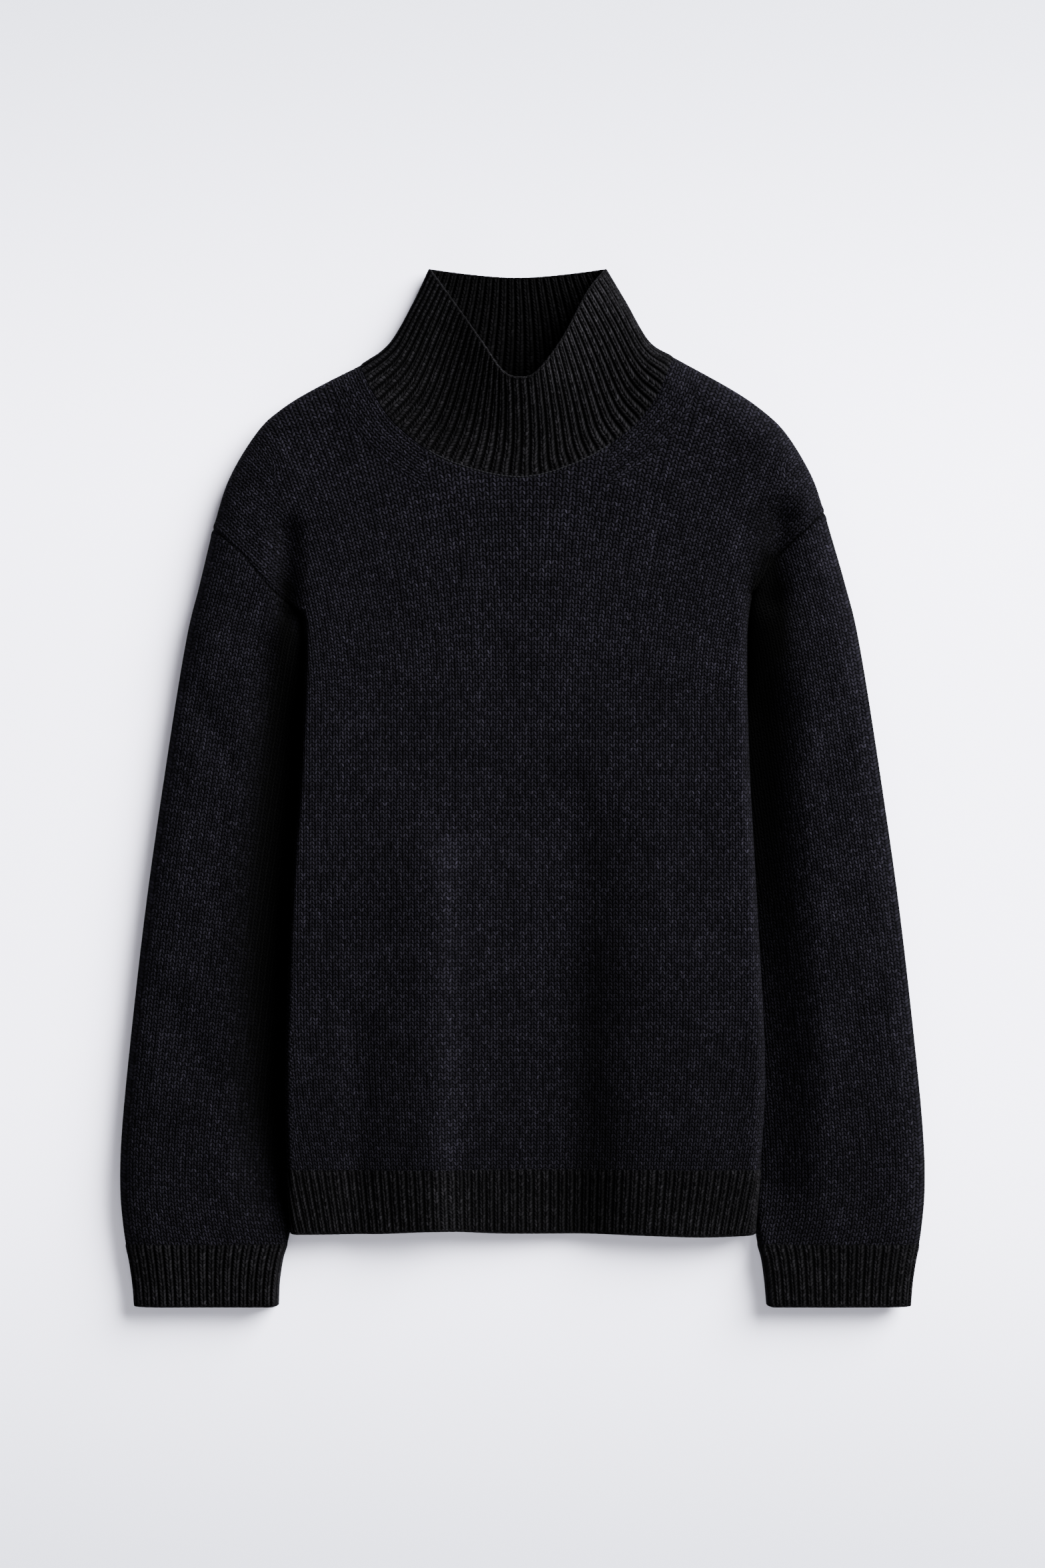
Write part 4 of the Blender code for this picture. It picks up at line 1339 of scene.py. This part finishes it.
def which_leg(column_share, lean):
    """Steps that find which leg of a stitch a place is on, from its wale and course."""
    return [
        ("column", "FRACT", "wale"),
        ("off", "SUBTRACT", "column", 0.5),
        ("away", "ABSOLUTE", "off"),
        ("reach", "MULTIPLY", "away", 2.0 / column_share),
        ("phase", "MULTIPLY_ADD", "reach", -0.3 * lean, "course"),
        ("leg", "FRACT", "phase"),
        ("up", "SUBTRACT", "leg", 0.5),
        ("number", "FLOOR", "wale"),
        ("half", "GREATER_THAN", "off", 0.0),
        ("which", "MULTIPLY_ADD", "half", 0.5, "number"),
        ("row", "FLOOR", "phase"),
    ]


def leg_height(lean, row_gap):
    """Steps for a leg's height: round across, tapered at both ends, and leaning outwards."""
    return [
        ("centred", "MULTIPLY_ADD", "reach", 2.2, -1.1),
        ("leaning", "MULTIPLY_ADD", "up", -lean, "centred"),
        ("pushed", "MULTIPLY_ADD", "push", 0.4, "leaning"),
        ("across", "SUBTRACT", "pushed", 0.2),
        ("square", "MULTIPLY", "across", "across"),
        ("left_over", "SUBTRACT", 1.0, "square"),
        ("open", "MAXIMUM", "left_over", 0.0),
        ("strand", "SQRT", "open"),
        ("near_end", "MULTIPLY", "up", "up"),
        ("at_end", "MULTIPLY", "near_end", "near_end"),
        ("taper", "MULTIPLY_ADD", "at_end", -16.0 * row_gap, 1.0),
        ("body", "MULTIPLY", "strand", "taper"),
        ("height", "MULTIPLY_ADD", "fuzz", 0.25, "body"),
    ]


# Steps for a leg's brightness: a few legs are light, the cloth is slightly patchy, and the last
# step darkens it by the panel's painted shade.
LEG_SHADE = [
    ("bright", "GREATER_THAN", "luck", 0.95),
    ("squared", "MULTIPLY", "chance", "chance"),
    ("own", "MULTIPLY_ADD", "squared", 1.0, 0.67),
    ("lit", "MULTIPLY_ADD", "bright", 0.8, "own"),
    ("patchy", "MULTIPLY_ADD", "cloud", 0.6, 0.7),
    ("streaked", "MULTIPLY_ADD", "streak", 0.16, 0.92),
    ("worn", "MULTIPLY_ADD", "fuzz", 1.2, 0.4),
    ("mottled", "MULTIPLY", "patchy", "streaked"),
    ("marled", "MULTIPLY", "lit", "worn"),
    ("mixed", "MULTIPLY", "mottled", "marled"),
    ("deep", "MULTIPLY", "mixed", DEPTH),
    ("tone_and_painted_shade", "MULTIPLY", "deep", "shaded"),
]
print("the fibres are drawn", round(1000.0 / FUZZ, 2), "mm coarse")

# %% The knitted material


def wool_finish(shader, specular, sheen):
    """Rough carded wool, with next to no highlight."""
    shader.inputs["Roughness"].default_value = 0.88
    shader.inputs["Specular IOR Level"].default_value = specular
    shader.inputs["Sheen Weight"].default_value = sheen


def knit_material(name, strand, gap, column_share, lean, row_gap):
    """Yarn in V stitches. `strand` is the yarn's colour and `gap` the colour painted between the
    legs as shade. `column_share` is how much of a wale's width the V fills, `lean` how far its
    legs lean apart, and `row_gap` how far they thin out at their ends."""
    material = bpy.data.materials.new(name)
    material.use_nodes = True
    tree = material.node_tree
    shader = tree.nodes["Principled BSDF"]
    place = add(tree, "ShaderNodeTexCoord", {}, {})["Object"]
    main = add(tree, "ShaderNodeUVMap", {"uv_map": "stitches"}, {})[0]
    side = add(tree, "ShaderNodeUVMap", {"uv_map": "strip"}, {})[0]
    turned = add(tree, "ShaderNodeAttribute", {"attribute_name": "turned"}, {})["Fac"]
    # The panel's painted light and shade, read from its attribute.
    shaded = add(tree, "ShaderNodeAttribute", {"attribute_name": "shade"}, {})["Fac"]
    sway = add(tree, "ShaderNodeTexNoise", {}, {"Vector": place, "Scale": SWAY, "Detail": 2.0})[1]
    fuzz = add(tree, "ShaderNodeTexNoise", {}, {"Vector": place, "Scale": FUZZ,
                                                "Detail": 2.0, "Roughness": 0.7})[0]
    cloud = add(tree, "ShaderNodeTexNoise", {}, {"Vector": place, "Scale": CLOUD,
                                                 "Detail": 3.0})[0]
    known = {"turned": turned, "shaded": shaded, "fuzz": fuzz, "cloud": cloud}
    work_out(tree, known, [("strip", "GREATER_THAN", "turned", 0.5)])
    chosen = add(tree, "ShaderNodeMix", {"data_type": "VECTOR"},
                 {0: known["strip"], 4: main, 5: side})[1]
    swayed = add(tree, "ShaderNodeVectorMath", {"operation": "MULTIPLY_ADD"},
                 {0: sway, 1: (0.20, 0.45, 0.0), 2: chosen})[0]
    split = add(tree, "ShaderNodeSeparateXYZ", {}, {"Vector": swayed})
    known.update(wale=split["X"], course=split["Y"])
    work_out(tree, known, which_leg(column_share, lean))

    # The chances that give each leg its own place and shade, and each wale its own.
    leg_name = add(tree, "ShaderNodeCombineXYZ", {}, {0: known["which"], 1: known["row"]})[0]
    chances = add(tree, "ShaderNodeTexWhiteNoise", {"noise_dimensions": "2D"},
                  {"Vector": leg_name})
    split = add(tree, "ShaderNodeSeparateXYZ", {}, {"Vector": chances["Color"]})
    known.update(chance=chances["Value"], push=split["X"], luck=split["Y"])
    known["streak"] = add(tree, "ShaderNodeTexWhiteNoise", {"noise_dimensions": "1D"},
                          {"W": known["number"]})[0]
    work_out(tree, known, leg_height(lean, row_gap))
    work_out(tree, known, LEG_SHADE)
    # The yarn's colour, painted darker in the gaps between the legs as shade, then scaled by its
    # tone and the painted shade.
    colour = add(tree, "ShaderNodeMix", {"data_type": "RGBA"},
                 {0: known["body"], 6: paint(gap), 7: paint(strand)})[2]
    toned = add(tree, "ShaderNodeVectorMath", {"operation": "SCALE"},
                {0: colour, "Scale": known["tone_and_painted_shade"]})[0]
    normal = add(tree, "ShaderNodeBump", {}, {"Height": known["height"], "Distance": 0.0013})[0]
    tree.links.new(toned, shader.inputs["Base Color"])
    tree.links.new(normal, shader.inputs["Normal"])
    wool_finish(shader, specular=0.008, sheen=0.0015)
    print("material", name, "has", len(tree.nodes), "nodes")
    return material


# %% Make the two materials
STOCKINETTE = knit_material("charcoal_stockinette", "28262f", "08080b", 1.0, 0.75, 0.88)
RIB = knit_material("charcoal_rib", "262528", "040405", 0.86, 0.6, 0.4)

# %% [markdown]
# ## The front and the back
#
# The front runs from the hem rib to the shoulders, where the cloth rolls over to the back.
# The back is the same panel with a shallower neck, and it lies on the surface.

# %% Build the front and the back
SHOULDER_RUN = 150.0     # lengths over the cloth, mm, that set the number of rows and columns
NECK_RUN = 230.0
UNDERARM_RUN = 70.0
ARMHOLE_RUN = 135.0


def panel_columns(spacing):
    """Columns of the front or the back, with one exactly at each end of the neck."""
    shoulder = NECK_SHARE * crowded(SHOULDER_RUN, spacing)
    neck = np.linspace(NECK_SHARE, 1.0 - NECK_SHARE, round(NECK_RUN / spacing) + 1)
    return np.concatenate([shoulder, neck[1:-1], (1.0 - shoulder)[::-1]])


def panel_rows(spacing):
    """Rows of the front or the back, with one exactly at the chest and at the underarm."""
    low = np.linspace(0.0, CHEST_SHARE, round((CHEST - HEM_TOP) / spacing) + 1)
    underarm = CHEST_SHARE + (1.0 - CHEST_SHARE) * UNDERARM_SHARE
    side = np.linspace(CHEST_SHARE, underarm, round(UNDERARM_RUN / spacing) + 1)
    high = underarm + (1.0 - underarm) * crowded(ARMHOLE_RUN, spacing)
    return np.concatenate([low, side[1:], high[1:]])


front = knit_panel("front_knit", body_skin(front_plan, 0), panel_columns(3.0), panel_rows(3.0),
                   panel_stitches, seam_relief(ARMHOLE_SEAMS, NECK_SEAM), STOCKINETTE,
                   strip=front_strip)
back = knit_panel("back_knit", body_skin(back_plan, 1), panel_columns(4.0), panel_rows(4.0),
                  panel_stitches, seam_relief(ARMHOLE_SEAMS, BACK_NECK_SEAM), STOCKINETTE,
                  faces_down=True)

# %% [markdown]
# ## The sleeves
#
# Each sleeve is a flattened tube. Its inner fold slips under the body's edge, which leaves
# the deep dark valley between the sleeve and the body, darkened further by painted shade.

# %% Build the sleeves
SLEEVE_WIDTH = 120.0
SLEEVE_RUN = 520.0
sleeve_around = around_tube(crowded(SLEEVE_WIDTH, 3.0), crowded(SLEEVE_WIDTH, 4.0))
sleeve_rows = crowded(SLEEVE_RUN, 3.0)
sleeves = []
for half, side in enumerate(("left", "right")):
    sleeves.append(knit_panel(f"{side}_sleeve_knit", sleeve_skin(half), sleeve_around,
                              sleeve_rows, sleeve_stitches(half), seam_relief(ARMHOLE_SEAMS),
                              STOCKINETTE, faces_down=half == 1, closed=True))

# %% [markdown]
# ## The ribs
#
# The hem, the cuffs and the collar grip because they are single rib. Their grids are fine
# enough for about a dozen points across each rib.

# %% Build the hem ribs
HEM_RUN = 340.0
RIB_ROW = 1.9            # spacing of the rows of a ribbed piece, away from its open edge


def rib_rows(length, open_first):
    """Rows of a ribbed piece, closer together at its open edge."""
    near = np.array([0.0, 0.25, 0.6, 1.0, 1.5, 2.1, 2.8, 3.6])
    rest = np.linspace(near[-1], length, round((length - near[-1]) / RIB_ROW) + 1)
    rows = np.concatenate([near, rest[1:]]) / length
    return rows if open_first else 1.0 - rows[::-1]


hem_rows = rib_rows(HEM_TOP - HEM_END, open_first=True)
front_hem = knit_panel("front_hem_rib", body_skin(hem_plan, 0),
                       crowded(HEM_RUN, 0.56, crowd=4), hem_rows, hem_stitches,
                       rib_relief(0, 1.2), RIB, strip=bound_strip(0), behind=0.5)
back_hem = knit_panel("back_hem_rib", body_skin(hem_plan, 1),
                      crowded(HEM_RUN, 0.62, crowd=4), hem_rows, hem_stitches,
                      rib_relief(0, 1.2), RIB, faces_down=True, strip=bound_strip(0), behind=0.5)

# %% Build the cuffs
CUFF_WIDTH = 108.0
cuff_around = around_tube(crowded(CUFF_WIDTH, 0.5, crowd=4))
cuff_rows = rib_rows(CUFF_TOP - CUFF_END, open_first=False)
cuffs = []
for half, side in enumerate(("left", "right")):
    cuffs.append(knit_panel(f"{side}_cuff_rib", cuff_skin(half), cuff_around, cuff_rows,
                            cuff_stitches, rib_relief(-1, 1.2), RIB, faces_down=half == 1,
                            closed=True, strip=bound_strip(-1), behind=0.5))

# %% [markdown]
# ## The funnel collar
#
# The collar stands up from the neck seam when the sweater is worn. Laid flat, its back lies
# on the surface, its front bows upwards, and its open edge dips in a deep V at the front.
# Through the opening one looks at the ribs inside its back.

# %% Build the collar
COLLAR_WIDTH = 228.0
COLLAR_RUN = 80.0
collar_around = around_tube(crowded(COLLAR_WIDTH, 0.66, crowd=4),
                            crowded(COLLAR_WIDTH, 0.82, crowd=4))
collar_rows = rib_rows(COLLAR_RUN, open_first=False)
# The collar's inner faces get a deeper painted shade than other panels.
collar = knit_panel("collar_rib", collar_skin, collar_around, collar_rows, collar_stitches,
                    rib_relief(-1, 2.0), RIB, closed=True, strip=bound_strip(-1), behind=0.5,
                    inside=0.26)

# %% [markdown]
# ## The linking chain
#
# The collar is linked to the front with one thread, whose chain of stitches shows as a fine
# beaded line where the seam opens a little, along the middle of the neck. A grid rolled into
# a tube along the seam, thick and thin in turn, is enough for a thread of less than 1 mm.

# %% The chain of linking stitches
CHAIN_SHOWS = (0.27, 0.73)   # the part of the seam, as shares of its length
CHAIN_RINGS = 420
CHAIN_SINK = 0.3         # how deep the thread's middle lies under the cloth, mm


def linking_chain(name, spacing, thickness, material):
    """A thin chain of stitches that shows along the middle of the front neck seam."""
    bm = bmesh.new()
    path = NECK_FRONT_LINE(np.linspace(*CHAIN_SHOWS, CHAIN_RINGS))
    travelled = np.concatenate([[0.0], np.cumsum(np.hypot(*np.diff(path, axis=0).T))])
    bmesh.ops.create_grid(bm, x_segments=len(path) - 1, y_segments=8, size=0.5)
    heading = np.gradient(path, axis=0)
    heading = heading / np.hypot(heading[:, 0], heading[:, 1])[:, None]
    sideways = np.column_stack([-heading[:, 1], heading[:, 0]])
    height = body_heights(path)[0]
    swell = 0.35 + 0.65 * np.abs(np.sin(np.pi * travelled / spacing))
    for point in bm.verts:
        n = round((point.co.x + 0.5) * (len(path) - 1))
        turn = 2.0 * np.pi * (point.co.y + 0.5)
        reach = thickness * swell[n]
        spot = path[n] + sideways[n] * reach * np.cos(turn)
        point.co = np.array([*spot, height[n] - CHAIN_SINK + reach * np.sin(turn)]) * MM
    bmesh.ops.remove_doubles(bm, verts=bm.verts[:], dist=1e-6)
    bmesh.ops.holes_fill(bm, edges=bm.edges[:], sides=8)
    bmesh.ops.recalc_face_normals(bm, faces=bm.faces[:])
    mesh = bpy.data.meshes.new(name)
    bm.to_mesh(mesh)
    bm.free()
    mesh.shade_smooth()
    mesh.materials.append(material)
    piece = bpy.data.objects.new(name, mesh)
    bpy.context.scene.collection.objects.link(piece)
    print(f"{name}: {len(mesh.polygons)} faces, {travelled[-1]:.0f} mm long")
    return piece


print("the chain is a tube of", CHAIN_RINGS, "rings")

# %% Build the chain at the collar's foot


def yarn_material(name, code):
    """Plain yarn with a slight fuzz, for a single thread."""
    material = bpy.data.materials.new(name)
    material.use_nodes = True
    tree = material.node_tree
    shader = tree.nodes["Principled BSDF"]
    place = add(tree, "ShaderNodeTexCoord", {}, {})["Object"]
    fuzz = add(tree, "ShaderNodeTexNoise", {}, {"Vector": place, "Scale": 1500.0})[0]
    shade = add(tree, "ShaderNodeMapRange", {}, {0: fuzz, 3: 0.6, 4: 1.4})[0]
    toned = add(tree, "ShaderNodeVectorMath", {"operation": "SCALE"},
                {0: paint(code)[:3], "Scale": shade})[0]
    normal = add(tree, "ShaderNodeBump", {}, {"Height": fuzz, "Distance": 0.0003})[0]
    tree.links.new(toned, shader.inputs["Base Color"])
    tree.links.new(normal, shader.inputs["Normal"])
    wool_finish(shader, specular=0.02, sheen=0.004)
    return material


chain = linking_chain("neck_linking", 2.9, 0.7, yarn_material("charcoal_yarn", "0b0b0d"))

# %% [markdown]
# ## Attach each piece
#
# Every piece rides on the model's one body and stands in for its construction solid, which is
# hidden.

# %% Attach the pieces to the frame
replaced = {
    front: ["front_panel"], back: ["back_panel"],
    sleeves[0]: ["sleeve_left_upper", "sleeve_left_lower"],
    sleeves[1]: ["sleeve_right_upper", "sleeve_right_lower"],
    cuffs[0]: ["cuff_left"], cuffs[1]: ["cuff_right"],
    front_hem: ["hem_rib_front"], back_hem: ["hem_rib_back"],
    collar: ["funnel_collar"],
}
for piece, nodes in replaced.items():
    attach(piece, "root")
    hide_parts(*nodes)
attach(chain, "root")

print(len(replaced) + 1, "pieces ride on the frame")

# %% [markdown]
# ## Floor, light and camera
#
# The sweater lies on a plain pale floor, painted a little greyer above and below it than beside
# it, as shade where the light falls off.
# One large soft light stands to the upper right, so the collar and the sleeves throw short
# soft shadows to the left and downwards. A weak one beyond the hem keeps the floor there from
# going dark, and a pale room fills in the rest. The camera hangs straight above the middle of
# the sweater.

# %% Floor
PAINTED_POOL = 0.18              # metres from the middle up to which the floor is painted palest, as a pool of light
PAINTED_FALLOFF = 0.68              # and from which it is painted greyest, as shade
floor_mesh = bpy.data.meshes.new("floor")
bm = bmesh.new()
bmesh.ops.create_grid(bm, x_segments=1, y_segments=1, size=4.0)
bm.to_mesh(floor_mesh)
bm.free()
floor = bpy.data.objects.new("floor", floor_mesh)
bpy.context.scene.collection.objects.link(floor)
floor_paint = bpy.data.materials.new("pale_floor")
floor_paint.use_nodes = True
floor_tree = floor_paint.node_tree
floor_shader = floor_tree.nodes["Principled BSDF"]
spot = add(floor_tree, "ShaderNodeTexCoord", {}, {})["Object"]
known = {"along": add(floor_tree, "ShaderNodeSeparateXYZ", {}, {"Vector": spot})["Y"]}
work_out(floor_tree, known, [("away", "ABSOLUTE", "along")])
painted_falloff_share = add(floor_tree, "ShaderNodeMapRange", {"interpolation_type": "SMOOTHSTEP"},
             {"Value": known["away"], "From Min": PAINTED_POOL, "From Max": PAINTED_FALLOFF})[0]
# The floor's colour is painted grey away from the middle, as the light's falloff.
painted_pool_tint = add(floor_tree, "ShaderNodeMix", {"data_type": "RGBA"},
           {0: painted_falloff_share, 6: paint("e2e1f2"), 7: paint("a6a9b6")})[2]
floor_tree.links.new(painted_pool_tint, floor_shader.inputs["Base Color"])
floor_shader.inputs["Roughness"].default_value = 0.8
floor_shader.inputs["Specular IOR Level"].default_value = 0.1
floor_mesh.materials.append(floor_paint)
print("floor is", round(floor.dimensions.x), "metres wide")

# %% Room and lights
room = bpy.data.worlds.new("pale_room")
room.use_nodes = True
room.node_tree.nodes["Background"].inputs["Color"].default_value = paint("f7f4f0")
room.node_tree.nodes["Background"].inputs["Strength"].default_value = 0.3
bpy.context.scene.world = room


def soft_light(name, place, target, size, power, spread):
    """A square soft light that faces a target, with a grid that limits how far it spreads."""
    lamp = bpy.data.lights.new(name, "AREA")
    lamp.size = size
    lamp.energy = power
    lamp.spread = np.radians(spread)
    light = bpy.data.objects.new(name, lamp)
    light.location = place
    direction = np.array(target) - np.array(place)
    turn = np.arctan2(direction[1], direction[0])
    tilt = np.arccos(-direction[2] / np.linalg.norm(direction))
    light.rotation_euler = (0.0, -tilt, turn)
    bpy.context.scene.collection.objects.link(light)
    print(name, "light is", round(float(np.linalg.norm(direction)), 1), "metres from its target")


soft_light("key", (2.85, 2.45, 2.38), (-0.2, -0.08, 0.0), 3.3, 860.0, 90.0)
soft_light("fill", (-0.3, -3.2, 1.3), (0.0, -0.2, 0.0), 2.2, 165.0, 180.0)

# %% Camera
lens = bpy.data.cameras.new("camera")
lens.lens = 85.0
lens.sensor_width = 36.0
camera = bpy.data.objects.new("camera", lens)
camera.location = (0.0, 0.003, 2.69)
bpy.context.scene.collection.objects.link(camera)
bpy.context.scene.camera = camera
print("camera is", round(camera.location.z, 2), "metres above the floor")
